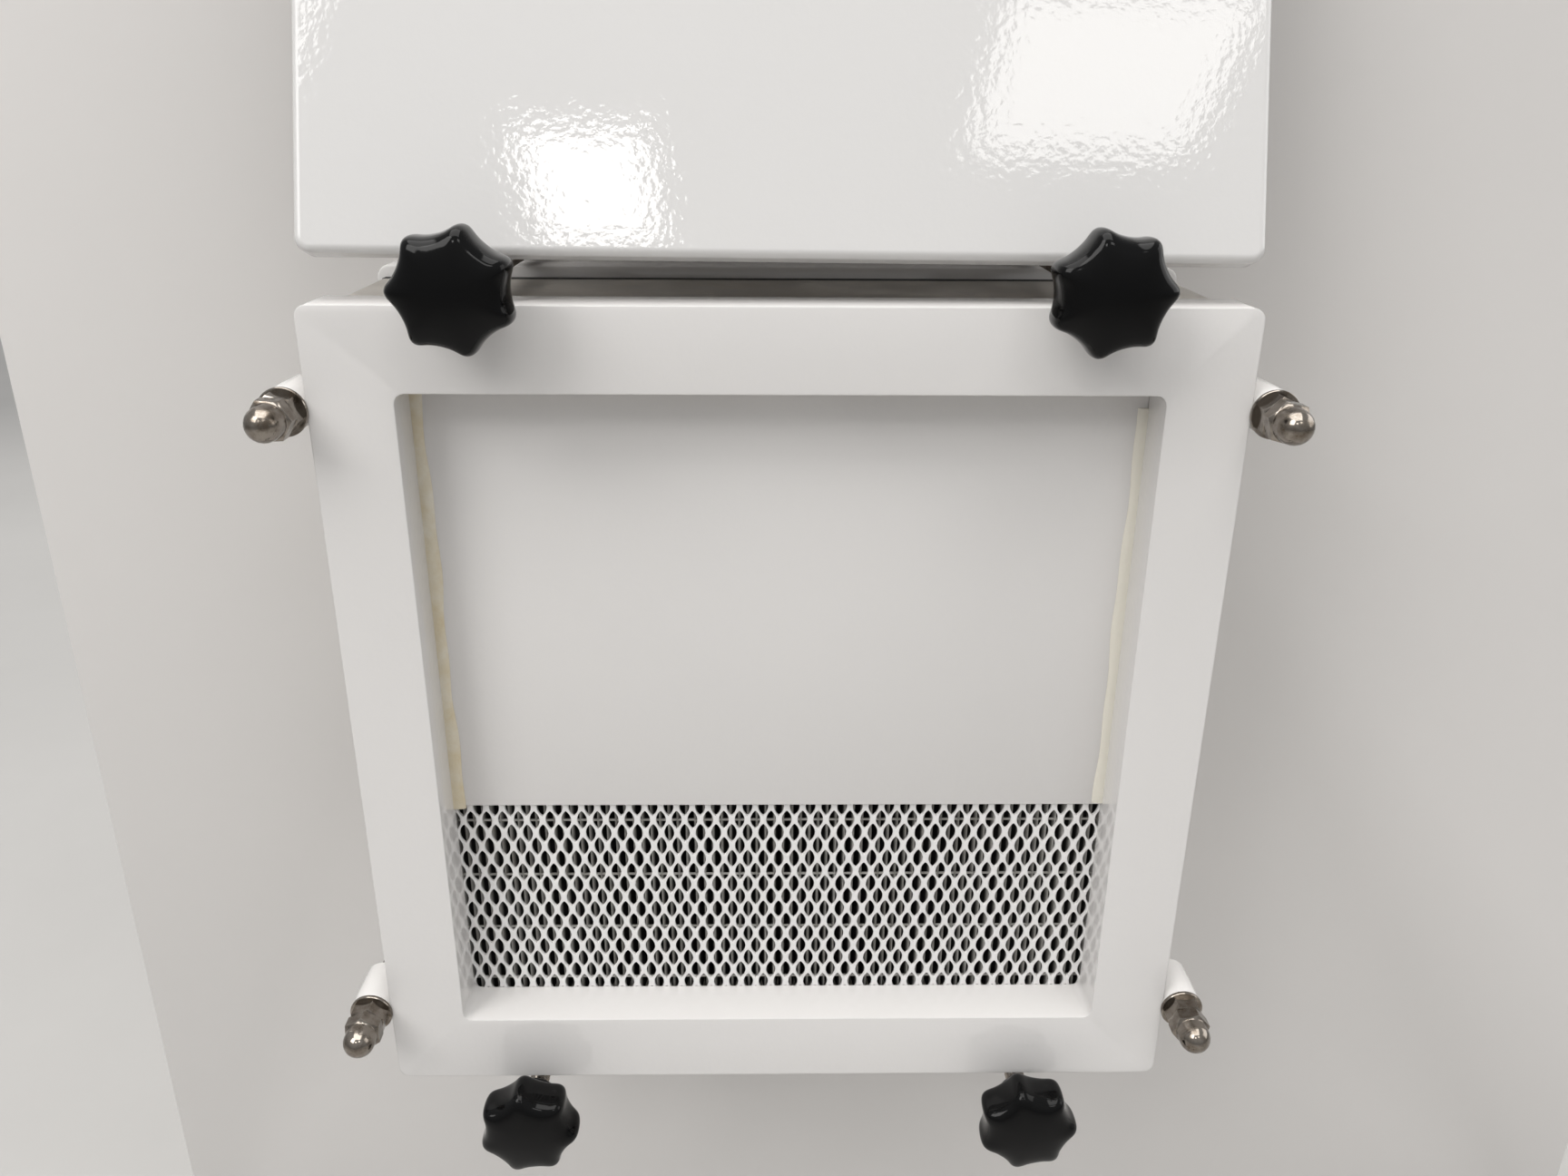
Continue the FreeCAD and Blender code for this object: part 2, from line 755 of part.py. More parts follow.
def window():
    inside = (INNER_LEFT, INNER_RIGHT)
    wide = ("(left_x + window_side)", "(%s - window_side)" % RIGHT_X)
    tall = ("window_foot", "window_head")
    front, rear = "(0 - window_gap - window_depth)", "(0 - window_gap)"
    surround = upright_ring("surround", inside, ("0", "sheet_gauge"),
                            ("surround_end", SLOPE_LENGTH + " - surround_end"), "surround_border")
    leant(surround, "front_surround")

    frame = upright_ring("window_ring", wide, (front, rear), tall, "window_border")
    lap = "(window_border - glass_lap)"
    pane_x = ("%s + %s" % (wide[0], lap), "%s - %s" % (wide[1], lap))
    pane_z = ("window_foot + " + lap, "window_head - " + lap)
    pane_front = "(0 - window_gap - window_depth + glass_set_in)"
    rebate = block("rebate", pane_x, (pane_front, "cut_past"), pane_z)
    hollowed = cut("window_cut", frame, rebate)
    studs = [
        rod("window_stud_" + side, "stud_radius", "window_stud",
            (x, front + " - window_stud", KNOB_UP), "Y")
        for side, x in WINDOW_KNOBS
    ]
    leant(fused("window_whole", hollowed, *studs), "window_frame")

    pane_y = (pane_front, pane_front + " + glass_gauge")
    pane = block("pane", pane_x, pane_y, pane_z)
    bead = upright_ring("bead", pane_x, (pane_y[1], rear), pane_z, "glass_lap")
    leant(bead, "glazing_bead")

    holes = []
    rings = []
    for side, sign in (("left", "-"), ("right", "+")):
        x = "%s %s port_spread" % (MIDDLE_X, sign)
        holes.append(rod("port_hole_" + side, "port_tube", "glass_gauge + 2 * cut_past",
                         (x, pane_front + " - cut_past", "port_height"), "Y"))
        rings.append(port_ring("port_" + side, x, pane_front))
        rings.append(ring("port_clamp_" + side, "port_flange - port_clamp_inset", "port_tube",
                          "port_clamp_depth", (x, pane_y[1], "port_height"), "Y"))
    leant(cut("pane_cut", pane, *holes), "window_glass")
    leant(group("ports", *rings), "port_rings")

    seal_x = (wide[0] + " + seal_side", wide[1] + " - seal_side")
    seal_z = ("window_foot + seal_end", "window_head - seal_end")
    leant(upright_ring("seal", seal_x, (rear, "0 - seal_gap"), seal_z, "seal_width"), "window_seal")
    window_hinges(front, wide)


def port_ring(name, x, pane_front):
    """A glove port: flange in front of the glass, and a grooved tube through it."""
    flange_front = pane_front + " - port_flange_depth"
    lip_front = flange_front + " - port_lip_depth"

    def turned(kind, radius, depth, front):
        return rod("%s_%s" % (name, kind), radius, depth, (x, front, "port_height"), "Y")

    flange = turned("flange", "port_flange", "port_flange_depth", flange_front)
    lip = turned("lip", "port_tube + port_lip", "port_lip_depth", lip_front)
    tube = turned("tube", "port_tube", "port_tube_depth", flange_front)
    bore = turned("bore", "port_bore", "port_lip_depth + port_tube_depth + 2 * cut_past",
                  lip_front + " - cut_past")
    groove = ring(name + "_groove", "port_tube + cut_past", "port_tube - port_groove",
                  "port_groove_width", (x, pane_front + " + port_groove_back", "port_height"), "Y")
    return cut(name, fused(name + "_whole", flange, lip, tube), bore, groove)


def window_hinges(front, wide):
    """A fixed rail with two pinned knuckles, and the leaves that turn on them."""
    rail = block("head_rail", wide, (front, "0"), ("rail_foot", SLOPE_LENGTH))
    fixed = [rail]
    leaves = []
    leaf_y = (front + " - hinge_leaf", front)
    out = "(0 - hinge_out)"
    for side, sign in (("left", "-"), ("right", "+")):
        x = "(%s %s hinge_spread)" % (MIDDLE_X, sign)
        middle = (x + " - hinge_middle", x + " + hinge_middle")
        fixed.append(block("fixed_leaf_" + side, middle, leaf_y, ("hinge_up", "rail_foot + leaf_rise")))
        fixed.append(rod("fixed_knuckle_" + side, "hinge_radius", "2 * hinge_middle",
                         (middle[0], out, "hinge_up"), "X"))
        fixed.append(rod("pin_" + side, "hinge_pin", "2 * hinge_pin_end",
                         (x + " - hinge_pin_end", out, "hinge_up"), "X"))
        near = "(hinge_middle + hinge_play)"
        long = "(hinge_end - %s)" % near
        for end, span in (("a", (x + " - hinge_end", "%s - %s" % (x, near))),
                          ("b", ("%s + %s" % (x, near), x + " + hinge_end"))):
            name = side + "_" + end
            plate = block("leaf_" + name, span, leaf_y, ("hinge_up - leaf_drop", "hinge_up"))
            knuckle = rod("knuckle_" + name, "hinge_radius", long, (span[0], out, "hinge_up"), "X")
            bore = rod("bore_" + name, "hinge_bore", long + " + 2 * cut_past",
                       (span[0] + " - cut_past", out, "hinge_up"), "X")
            leaves.append(cut("turning_" + name, fused("whole_" + name, plate, knuckle), bore))
    leant(fused("head", *fixed), "window_hinge_rail")
    leant(group("leaves", *leaves), "window_hinge_leaves")


# Star knobs, made once along +Z and turned to face outwards

def star_knob(label, x, y, z, rotation):
    """A seven-lobed clamping knob with a threaded blind hole in its hub."""
    body = new_body(label + "_body")
    revolved(body, label + "_profile", [
        ("knob_bore", "0"),
        ("hub_radius", "0"),
        ("hub_radius", "hub_height"),
        ("knob_radius", "hub_height"),
        ("knob_radius", "knob_height - crown_height"),
        ("crown_radius", "knob_height - crown_height"),
        ("crown_radius - crown_slope", "knob_height"),
        ("0", "knob_height"),
        ("0", "thread_depth"),
        ("knob_bore", "thread_depth"),
    ])
    cutter = sketch_on(body, "XY_Plane", label + "_scallop")
    circle(cutter, "scallop_centre", "0", "scallop_radius")
    hollow = pocket(body, cutter)
    polar(body, hollow, cutter, KNOB_LOBES)
    place(body, x, y, z, rotation=rotation)
    return node(body, label)


def facing_left(phase):
    """Local Z to the left, local X towards the front, then a turn about local Z."""
    axes = FreeCAD.Rotation(vec(0, -1, 0), vec(0, 0, 1), vec(-1, 0, 0), "ZXY")
    return axes * FreeCAD.Rotation(vec(0, 0, 1), phase)


def inlet_knobs():
    """Four knobs on studs, set half a lobe apart as they were left."""
    half_lobe = 180 / KNOB_LOBES
    rows = (("upper", FRAME_TOP + " + knob_outside"), ("lower", FRAME_FOOT + " - knob_outside"))
    phases = {"upper_rear": 25.3, "upper_front": 2.5, "lower_rear": -6.0, "lower_front": 0.0}
    studs = []
    for row_name, z in rows:
        for side, sign in (("rear", "+"), ("front", "-")):
            name = row_name + "_" + side
            y = "filter_y %s knob_spread" % sign
            star_knob("star_knob_" + name, FACE_X + " - knob_gap", y, z,
                      facing_left(phases[name] + half_lobe))
            studs.append(rod("knob_stud_" + name, "stud_radius", "inlet_depth + knob_stud_tip",
                             (FACE_X + " - knob_stud_tip", y, z), "X"))
    node(group("clamp_studs", *studs), "knob_studs")


# The filter inlet on the left panel

def clamp_frame():
    """The welded frame that clamps the filter, with a bored boss on each side at two heights."""
    body = new_body("clamp")
    plan = sketch_on(body, "YZ_Plane", "clamp_outline", FACE_X)
    y = ("filter_y - frame_width / 2", "filter_y + frame_width / 2")
    z = (FRAME_FOOT, FRAME_TOP)
    rectangle(plan, y, z)
    pad(body, plan, "frame_depth")
    hole = sketch_on(body, "YZ_Plane", "clamp_opening", FACE_X)
    rectangle(hole, (y[0] + " + frame_border", y[1] + " - frame_border"),
              (z[0] + " + frame_border", z[1] + " - frame_border"))
    opened = pocket(body, hole)
    face_x = dim("left_x") - dim("inlet_depth")
    width = dim("frame_width")
    finished_edges(
        body, "Fillet", opened, "Radius", "frame_round",
        lambda edge: (faced_left(edge, face_x) and edge.Length > width - 1)
        or (runs_along(edge, vec(1, 0, 0)) and abs(abs(edge.CenterOfMass.y - dim("filter_y"))
                                                   - width / 2) < 1))
    bosses = sketch_on(body, "YZ_Plane", "boss_circles", FACE_X)
    bores = sketch_on(body, "YZ_Plane", "bore_circles", FACE_X)
    for centre_y, centre_z in boss_places():
        circle(bosses, centre_y, centre_z, "boss_radius")
        circle(bores, centre_y, centre_z, "stud_radius + boss_play")
    pad(body, bosses, "frame_depth")
    pocket(body, bores)
    node(body, "clamp_frame")


def boss_places():
    places = []
    for sign in "+-":
        for drop in ("boss_upper", "boss_lower"):
            places.append(("filter_y %s boss_offset" % sign, "%s - %s" % (FRAME_TOP, drop)))
    return places


def expanded_guard():
    """Expanded-metal guard: staggered diamond holes, longer upwards, below the blanking plate."""
    x = dim("left_x") - dim("inlet_depth") + dim("frame_depth")
    half = dim("casing_bore") / 2
    middle_y, middle_z = dim("filter_y"), dim("filter_z")
    pitch, rise, strand = dim("mesh_pitch"), dim("mesh_rise"), dim("strand_width")
    opening = dim("frame_width") / 2 - dim("frame_border")
    low = middle_z - dim("frame_height") / 2 + dim("frame_border")
    high = middle_z + dim("frame_height") / 2 - dim("plate_drop")

    def wire(points):
        return Part.makePolygon([vec(x, y, z) for y, z in points + points[:1]])

    border = wire([(middle_y - half, middle_z - half), (middle_y + half, middle_z - half),
                   (middle_y + half, middle_z + half), (middle_y - half, middle_z + half)])
    across, up = (pitch - strand) / 2, rise - strand / 2
    columns = int(opening / pitch)
    rows = int((high - low) / rise)
    holes = []
    for row_number in range(rows - 1):
        z = low + rise * (row_number + 1)
        offset = pitch / 2 * (row_number % 2)
        for column in range(-columns, columns + 1):
            y = middle_y + column * pitch + offset
            if abs(y - middle_y) + across < opening:
                holes.append(wire([(y - across, z), (y, z - up), (y + across, z), (y, z + up)]))
    face = Part.makeFace([border] + holes, "Part::FaceMakerBullseye")
    guard = doc.addObject("Part::Feature", "guard")
    guard.Shape = face.extrude(vec(dim("guard_gauge"), 0, 0))
    node(guard, "filter_guard")


def pleated_media():
    """The pack of upright pleats that fills the casing behind the guard."""
    front = dim("left_x") - dim("inlet_depth") + dim("frame_depth") + dim("guard_gauge")
    front += dim("media_front")
    back = dim("left_x") - dim("inlet_depth") + dim("frame_depth") + dim("casing_depth")
    back -= dim("media_back")
    half = dim("casing_bore") / 2
    middle_y, low = dim("filter_y"), dim("filter_z") - dim("casing_bore") / 2
    count = int(dim("casing_bore") / dim("pleat_pitch"))
    pitch = dim("casing_bore") / count
    fold = dim("pleat_fold")
    points = [(back, middle_y - half)]
    for k in range(count):
        y = middle_y - half + k * pitch
        points.append((front + fold, y))
        points.append((front, y + pitch / 2))
    points.append((front + fold, middle_y + half))
    points.append((back, middle_y + half))
    wire = Part.makePolygon([vec(x, y, low) for x, y in points + points[:1]])
    media = doc.addObject("Part::Feature", "media")
    media.Shape = Part.Face(wire).extrude(vec(0, 0, dim("casing_bore")))
    node(media, "filter_media")


def quarter_bead(name, x, y, z, length, rotation):
    """A quarter-round bead of sealant in an inside corner."""
    bead = doc.addObject("Part::Cylinder", name)
    bead.Angle = 90
    place(bead, x, y, z, rotation=rotation)
    bind(bead, "Radius", "bead_size")
    bind(bead, "Height", length)
    return bead


def filter_stack():
    """Blanking plate, casing, gasket and neck, from the clamp frame to the side panel."""
    centre = ("filter_y", "filter_z")
    opening = "(frame_width / 2 - frame_border)"
    plate_x = (FRAME_BACK + " - plate_gauge", FRAME_BACK)
    plate_z = (FRAME_TOP + " - plate_drop", FRAME_TOP + " - frame_border")
    node(block("blank", plate_x,
               ("filter_y - %s" % opening, "filter_y + %s" % opening), plate_z), "blanking_plate")
    height = "plate_drop - frame_border"
    turn = FreeCAD.Rotation
    across = turn(vec(0, 0, -1), vec(-1, 0, 0), vec(0, 1, 0), "ZXY")
    beads = [
        quarter_bead("bead_rear", plate_x[0], "filter_y + " + opening, plate_z[0],
                     height, turn(vec(0, 0, 1), 180)),
        quarter_bead("bead_front", plate_x[0], "filter_y - " + opening, plate_z[0],
                     height, turn(vec(0, 0, 1), 90)),
        quarter_bead("bead_top", plate_x[0], "filter_y - %s + bead_size" % opening, plate_z[1],
                     "2 * %s - 2 * bead_size" % opening, across),
    ]
    node(group("beads", *beads), "plate_sealant")

    casing = square_ring("casing", (FRAME_BACK, CASING_BACK), centre,
                         ("casing_size", "casing_size"), ("casing_bore", "casing_bore"))
    node(casing, "filter_casing")
    gasket = square_ring("gasket", (CASING_BACK, NECK_FRONT), centre,
                         ("casing_size", "casing_size"), ("inlet_bore", "inlet_bore"))
    node(gasket, "inlet_gasket")

    neck = new_body("neck")
    plan = sketch_on(neck, "YZ_Plane", "neck_outline", NECK_FRONT)
    rectangle(plan, ("filter_y - neck_width / 2", "filter_y + neck_width / 2"),
              ("filter_z - neck_height / 2", "filter_z + neck_height / 2"))
    body = pad(neck, plan, "left_x - " + NECK_FRONT)
    finished_edges(neck, "Fillet", body, "Radius", "neck_round",
                   lambda edge: runs_along(edge, vec(1, 0, 0)))
    bore = sketch_on(neck, "YZ_Plane", "neck_bore", NECK_FRONT)
    rectangle(bore, ("filter_y - inlet_bore / 2", "filter_y + inlet_bore / 2"),
              ("filter_z - inlet_bore / 2", "filter_z + inlet_bore / 2"))
    pocket(neck, bore)
    hollow = sketch_on(neck, "YZ_Plane", "neck_hollow", NECK_FRONT + " + neck_wall")
    rectangle(hollow, ("filter_y - neck_width / 2 + neck_wall", "filter_y + neck_width / 2 - neck_wall"),
              ("filter_z - neck_height / 2 + neck_wall", "filter_z + neck_height / 2 - neck_wall"))
    pocket(neck, hollow, "left_x - %s" % NECK_FRONT, reverse=True)
    node(neck, "inlet_neck")


def hexagon(name, x, y, z, height):
    """A hexagonal prism pointing left, with its corners eased at the outer end."""
    outwards = FreeCAD.Rotation(vec(0, 0, 1), vec(-1, 0, 0))
    prism = doc.addObject("Part::Prism", name + "_prism")
    prism.Polygon = 6
    bind(prism, "Circumradius", "nut_flats / 2 / cos(30 * 1 deg)")
    bind(prism, "Height", height)
    cone = doc.addObject("Part::Cone", name + "_cone")
    rim = "(nut_flats / 2 + chamfer_rim)"
    bind(cone, "Radius1", "%s + (%s) * chamfer_run" % (rim, height))
    bind(cone, "Radius2", rim)
    bind(cone, "Height", height)
    eased = doc.addObject("Part::Common", name)
    eased.Base = prism
    eased.Tool = cone
    place(eased, x, y, z, rotation=outwards)
    return eased


def frame_fasteners():
    """Studs, washers, nuts and domed cap nuts on the four bosses."""
    studs, washers, nuts, caps = [], [], [], []
    nut_x = FACE_X + " - washer_gauge"
    cap_x = FACE_X + " - washer_gauge - nut_height"
    tip = "(washer_gauge + nut_height + cap_hex)"
    for k, (y, z) in enumerate(boss_places()):
        studs.append(rod("frame_stud_%d" % k, "stud_radius", "inlet_depth + " + tip,
                         ("%s - %s" % (FACE_X, tip), y, z), "X"))
        washers.append(ring("washer_%d" % k, "washer_radius", "stud_radius + stud_play", "washer_gauge",
                            (nut_x, y, z), "X"))
        prism = hexagon("nut_%d" % k, nut_x, y, z, "nut_height")
        hole = rod("nut_hole_%d" % k, "stud_radius", "nut_height + 2 * cut_past",
                   (nut_x + " - nut_height - cut_past", y, z), "X")
        nuts.append(cut("frame_nut_%d" % k, prism, hole))
        hexed = hexagon("cap_%d" % k, cap_x, y, z, "cap_hex")
        dome = doc.addObject("Part::Sphere", "cap_dome_%d" % k)
        bind(dome, "Radius", "cap_radius")
        place(dome, "%s - cap_height + cap_radius" % cap_x, y, z)
        neck = rod("cap_neck_%d" % k, "cap_radius", "cap_height - cap_radius",
                   ("%s - cap_height + cap_radius" % cap_x, y, z), "X")
        socket = rod("cap_socket_%d" % k, "stud_radius", "cap_socket", (cap_x + " - cap_hex", y, z), "X")
        caps.append(cut("cap_nut_%d" % k, fused("cap_whole_%d" % k, hexed, dome, neck), socket))
    node(group("studs", *studs), "frame_studs")
    node(group("washers", *washers), "frame_washers")
    node(group("nuts", *nuts), "frame_nuts")
    node(group("caps", *caps), "dome_nuts")


def parked_cover():
    """The blanking cover, stood on the upper studs and leant back on the side panel."""
    body = new_body("cover")
    plan = sketch_on(body, "XY_Plane", "cover_outline")
    rectangle(plan, ("0 - frame_width / 2", "frame_width / 2"), ("0", "cover_height"))
    sheet_metal = pad(body, plan, "cover_rim")
    rounded = finished_edges(body, "Fillet", sheet_metal, "Radius", "cover_corner",
                             lambda edge: runs_along(edge, vec(0, 0, 1)))
    finished_edges(body, "Fillet", rounded, "Radius", "cover_round",
                   lambda edge: edge.BoundBox.ZMin > dim("cover_rim") - 1e-6)
    inner = sketch_on(body, "XY_Plane", "cover_inside")
    inside = (("0 - frame_width / 2 + cover_return", "frame_width / 2 - cover_return"),
              ("cover_return", "cover_height - cover_return"))
    rectangle(inner, *inside)
    hollow = pocket(body, inner, "cover_rim - cover_gauge", reverse=True)
    body.Tip = hollow
    turn = cover_rotation()
    x = FACE_X + " + cover_set_back + cover_rim * cos(cover_lean * 1 deg)"
    z = FRAME_TOP + " + cover_lift - cover_rim * sin(cover_lean * 1 deg)"
    place(body, x, "filter_y", z, rotation=turn)
    node(body, "cover_plate")

    foam = new_body("foam")
    ring_plan = sketch_on(foam, "XY_Plane", "foam_outline")
    rectangle(ring_plan, *inside)
    rectangle(ring_plan, *[(low + " + foam_width", high + " - foam_width") for low, high in inside])
    pad(foam, ring_plan, "cover_rim - cover_gauge")
    place(foam, x, "filter_y", z, rotation=turn)
    node(foam, "cover_gasket")


def cover_rotation():
    """Local X to the front, local Y up the cover, local Z out of its face, with its lean and tilt."""
    upright = FreeCAD.Rotation(vec(0, -1, 0), vec(0, 0, 1), vec(-1, 0, 0), "ZXY")
    lean = FreeCAD.Rotation(vec(1, 0, 0), -dim("cover_lean"))
    askew = FreeCAD.Rotation(vec(0, 0, 1), -dim("cover_askew"))
    return upright * lean * askew


# The transfer hatch on the right panel

def hatch():
    centre = ("hatch_y", "hatch_z")
    frame_out = RIGHT_X + " + hatch_reach"
    tunnel = square_ring("hatch_ring", (RIGHT_X, frame_out), centre,
                         ("hatch_size", "hatch_size"), ("hatch_bore", "hatch_bore"))
    pin_y, pin_x = "hatch_y + door_hinge_back", RIGHT_X + " + door_hinge_out"
    fixed = [tunnel]
    door_x = (frame_out + " + door_gap", frame_out + " + door_gap + door_depth")
    slab = block("door_slab", door_x, ("hatch_y - hatch_size / 2", "hatch_y + hatch_size / 2"),
                 ("hatch_z - hatch_size / 2", "hatch_z + hatch_size / 2"))
    dish_half = "(hatch_size / 2 - door_dish_border)"
    dish = block("door_dish", (door_x[0] + " - cut_past", door_x[1] + " - door_skin"),
                 ("hatch_y - " + dish_half, "hatch_y + " + dish_half),
                 ("hatch_z - " + dish_half, "hatch_z + " + dish_half))
    spindle_y = "hatch_y - handle_inset"
    boss = rod("spindle_boss", "spindle_boss", "door_depth - door_skin / 2",
               (door_x[0], spindle_y, "hatch_z"), "X")
    moving = [cut("door_pan", slab, dish), boss]
    bores = [rod("spindle_hole", "spindle_bore", "door_depth + 2 * cut_past",
                 (door_x[0] + " - cut_past", spindle_y, "hatch_z"), "X")]
    for side, sign in (("upper", "+"), ("lower", "-")):
        z = "(hatch_z %s door_hinge_spread)" % sign
        lug_y = (pin_y + " - lug_gauge", pin_y + " + lug_gauge")
        lug_z = (z + " - lug_half", z + " + lug_half")
        fixed.append(block("door_lug_" + side, (RIGHT_X, pin_x), lug_y, lug_z))
        fixed.append(rod("door_knuckle_" + side, "hinge_radius", "2 * lug_half", (pin_x, pin_y, lug_z[0])))
        fixed.append(rod("door_pin_" + side, "hinge_pin", "2 * door_pin_end",
                         (pin_x, pin_y, z + " - door_pin_end")))
        for end, low in (("a", z + " - lug_half - hinge_play - barrel_length"),
                         ("b", z + " + lug_half + hinge_play")):
            name = side + "_" + end
            moving.append(rod("door_barrel_" + name, "hinge_radius", "barrel_length", (pin_x, pin_y, low)))
            moving.append(block("door_strap_" + name, (pin_x + " - strap_half", pin_x + " + strap_half"),
                                ("hatch_y + hatch_size / 2 - strap_lap", pin_y + " - strap_lap"),
                                (low, low + " + barrel_length")))
            bores.append(rod("door_bore_" + name, "hinge_bore", "barrel_length + 2 * cut_past",
                             (pin_x, pin_y, low + " - cut_past")))
    node(fused("hatch_fixed", *fixed), "hatch_frame")
    node(cut("hatch_moving", fused("door_whole", *moving), *bores), "hatch_door")

    seal_outer, seal_inner = "hatch_size - 2 * seal_trim", "hatch_bore + 2 * seal_trim"
    seal = square_ring("hatch_seal_ring", (frame_out + " + seal_gap", door_x[0]), centre,
                       (seal_outer, seal_outer), (seal_inner, seal_inner))
    node(seal, "hatch_seal")

    hub_x = door_x[1] + " + lever_gap"
    arm_x = hub_x + " + lever_arm_out"
    spindle = rod("spindle", "spindle_radius", "door_depth + spindle_reach",
                  (door_x[0] + " + spindle_start", spindle_y, "hatch_z"), "X")
    hub = rod("lever_boss", "lever_hub", "lever_hub_length", (hub_x, spindle_y, "hatch_z"), "X")
    arm = block("lever_arm", (arm_x, arm_x + " + lever_arm_gauge"),
                (spindle_y + " - lever_arm_width / 2", spindle_y + " + lever_arm_width / 2"),
                ("hatch_z - lever_length", "hatch_z"))
    grip = rod("lever_end", "lever_arm_width / 2", "lever_arm_gauge",
               (arm_x, spindle_y, "hatch_z - lever_length"), "X")
    node(fused("lever", spindle, hub, arm, grip), "hatch_handle")


# The exhaust on the roof

def exhaust():
    """Housing with two filters in series under a backward-curved fan, and the duct spigot."""
    half = "exhaust_size / 2"
    outer_x = ("%s - %s" % (MIDDLE_X, half), "%s + %s" % (MIDDLE_X, half))
    outer_y = ("exhaust_y - " + half, "exhaust_y + " + half)
    top = "(body_top + exhaust_height)"
    shell_box = block("exhaust_box", outer_x, outer_y, ("body_top", top))
    inner_x = (outer_x[0] + " + sheet_gauge", outer_x[1] + " - sheet_gauge")
    inner_y = (outer_y[0] + " + sheet_gauge", outer_y[1] + " - sheet_gauge")
    hollow = block("exhaust_hollow", inner_x, inner_y, ("body_top - cut_past", top + " - sheet_gauge"))
    spigot_x = MIDDLE_X + " + spigot_offset"
    outlet = rod("outlet", "spigot_radius - spigot_wall", "sheet_gauge + 2 * cut_past",
                 (spigot_x, "exhaust_y", top + " - sheet_gauge - cut_past"))
    shell_cut = cut("exhaust_cut", shell_box, hollow, outlet)

    cases, packs = [], []
    wide = ("%s - roof_filter / 2" % MIDDLE_X, "%s + roof_filter / 2" % MIDDLE_X)
    deep = ("exhaust_y - roof_filter / 2", "exhaust_y + roof_filter / 2")
    for k in range(2):
        low = "(body_top + %d * (roof_filter_height + roof_filter_gap))" % k
        high = low + " + roof_filter_height"
        pack_x = (wide[0] + " + roof_case_border", wide[1] + " - roof_case_border")
        pack_y = (deep[0] + " + roof_case_border", deep[1] + " - roof_case_border")
        hole = block("roof_case_hole_%d" % k, pack_x, pack_y, (low + " - cut_past", high + " + cut_past"))
        casing = block("roof_case_body_%d" % k, wide, deep, (low, high))
        cases.append(cut("roof_case_%d" % k, casing, hole))
        pack_z = (low + " + pack_inset", high + " - pack_inset")
        packs.append(block("roof_pack_%d" % k, pack_x, pack_y, pack_z))
    node(group("roof_filters", *cases), "exhaust_filters")
    node(group("roof_packs", *packs), "exhaust_filter_packs")

    deck_low = "(body_top + 2 * roof_filter_height + roof_filter_gap)"
    deck_z = (deck_low, deck_low + " + sheet_gauge")
    fan_x = MIDDLE_X + " - fan_offset"
    eye = rod("fan_eye", "fan_radius - fan_eye_inset", "sheet_gauge + 2 * cut_past",
              (fan_x, "exhaust_y", deck_low + " - cut_past"))
    deck = cut("deck", block("deck_plate", inner_x, inner_y, deck_z), eye)
    node(fused("exhaust_shell", shell_cut, deck), "exhaust_housing")
    fan(fan_x)
    motor_z = "(fan_bottom + fan_height + motor_gap)"
    motor = rod("motor_can", "motor_radius", "%s - sheet_gauge - %s" % (top, motor_z),
                (fan_x, "exhaust_y", motor_z))
    shaft_hole = rod("motor_bore", "fan_shaft_bore", "motor_bore_depth",
                     (fan_x, "exhaust_y", motor_z + " - cut_past"))
    node(cut("motor", motor, shaft_hole), "fan_motor")

    spigot = new_body("spigot")
    revolved(spigot, "spigot_profile", [
        ("spigot_radius - spigot_wall", "0"),
        ("spigot_radius + spigot_flange", "0"),
        ("spigot_radius + spigot_flange", "spigot_flange_gauge"),
        ("spigot_radius", "spigot_flange_gauge"),
        ("spigot_radius", "spigot_height + spigot_flange_gauge"),
        ("spigot_radius - spigot_wall", "spigot_height + spigot_flange_gauge"),
    ])
    place(spigot, spigot_x, "exhaust_y", top)
    node(spigot, "exhaust_spigot")


def fan(fan_x):
    """A plug-fan wheel: back plate and hub, inlet shroud and nine leant-back blades."""
    wheel = new_body("wheel")
    revolved(wheel, "wheel_disc", [
        ("0", "fan_height - fan_hub_drop"),
        ("fan_hub", "fan_height - fan_hub_drop"),
        ("fan_hub", "fan_height - fan_plate"),
        ("fan_radius", "fan_height - fan_plate"),
        ("fan_radius", "fan_height"),
        ("fan_shaft", "fan_height"),
        ("fan_shaft", "fan_height + fan_shaft_reach"),
        ("0", "fan_height + fan_shaft_reach"),
    ])
    blade = sketch_on(wheel, "XY_Plane", "blade_plan", "shroud_gauge")
    outline(blade, [
        ("blade_root", "0 - blade_root_drop"),
        ("blade_knee", "0 - blade_knee_drop"),
        ("fan_radius - blade_tip_inset", "blade_tip_rise"),
        ("fan_radius - blade_tip_inset - blade_gauge", "blade_tip_rise + blade_gauge / 2"),
        ("blade_knee - blade_gauge / 2", "blade_gauge - blade_knee_drop"),
        ("blade_root - blade_gauge / 2", "blade_gauge - blade_root_drop"),
    ])
    one = pad(wheel, blade, "fan_height - fan_plate - shroud_gauge")
    polar(wheel, one, blade, BLADES)
    shroud = new_body("shroud_body")
    revolved(shroud, "shroud_profile", [
        ("fan_radius - shroud_throat", "0"),
        ("fan_radius - shroud_throat + shroud_gauge", "0"),
        ("fan_radius - shroud_shoulder", "shroud_rise"),
        ("fan_radius", "shroud_edge"),
        ("fan_radius", "shroud_edge + shroud_gauge"),
        ("fan_radius - shroud_shoulder - shroud_gauge / 2", "shroud_rise + shroud_gauge"),
        ("fan_radius - shroud_throat", "shroud_gauge"),
    ])
    impeller = fused("impeller", wheel, shroud)
    place(impeller, fan_x, "exhaust_y", "fan_bottom")
    node(impeller, "fan_impeller")


# Controls in the header

def control_x(k):
    """The place of the kth round control, counted from the right."""
    return MIDDLE_X + " + button_x - %d * button_pitch" % k


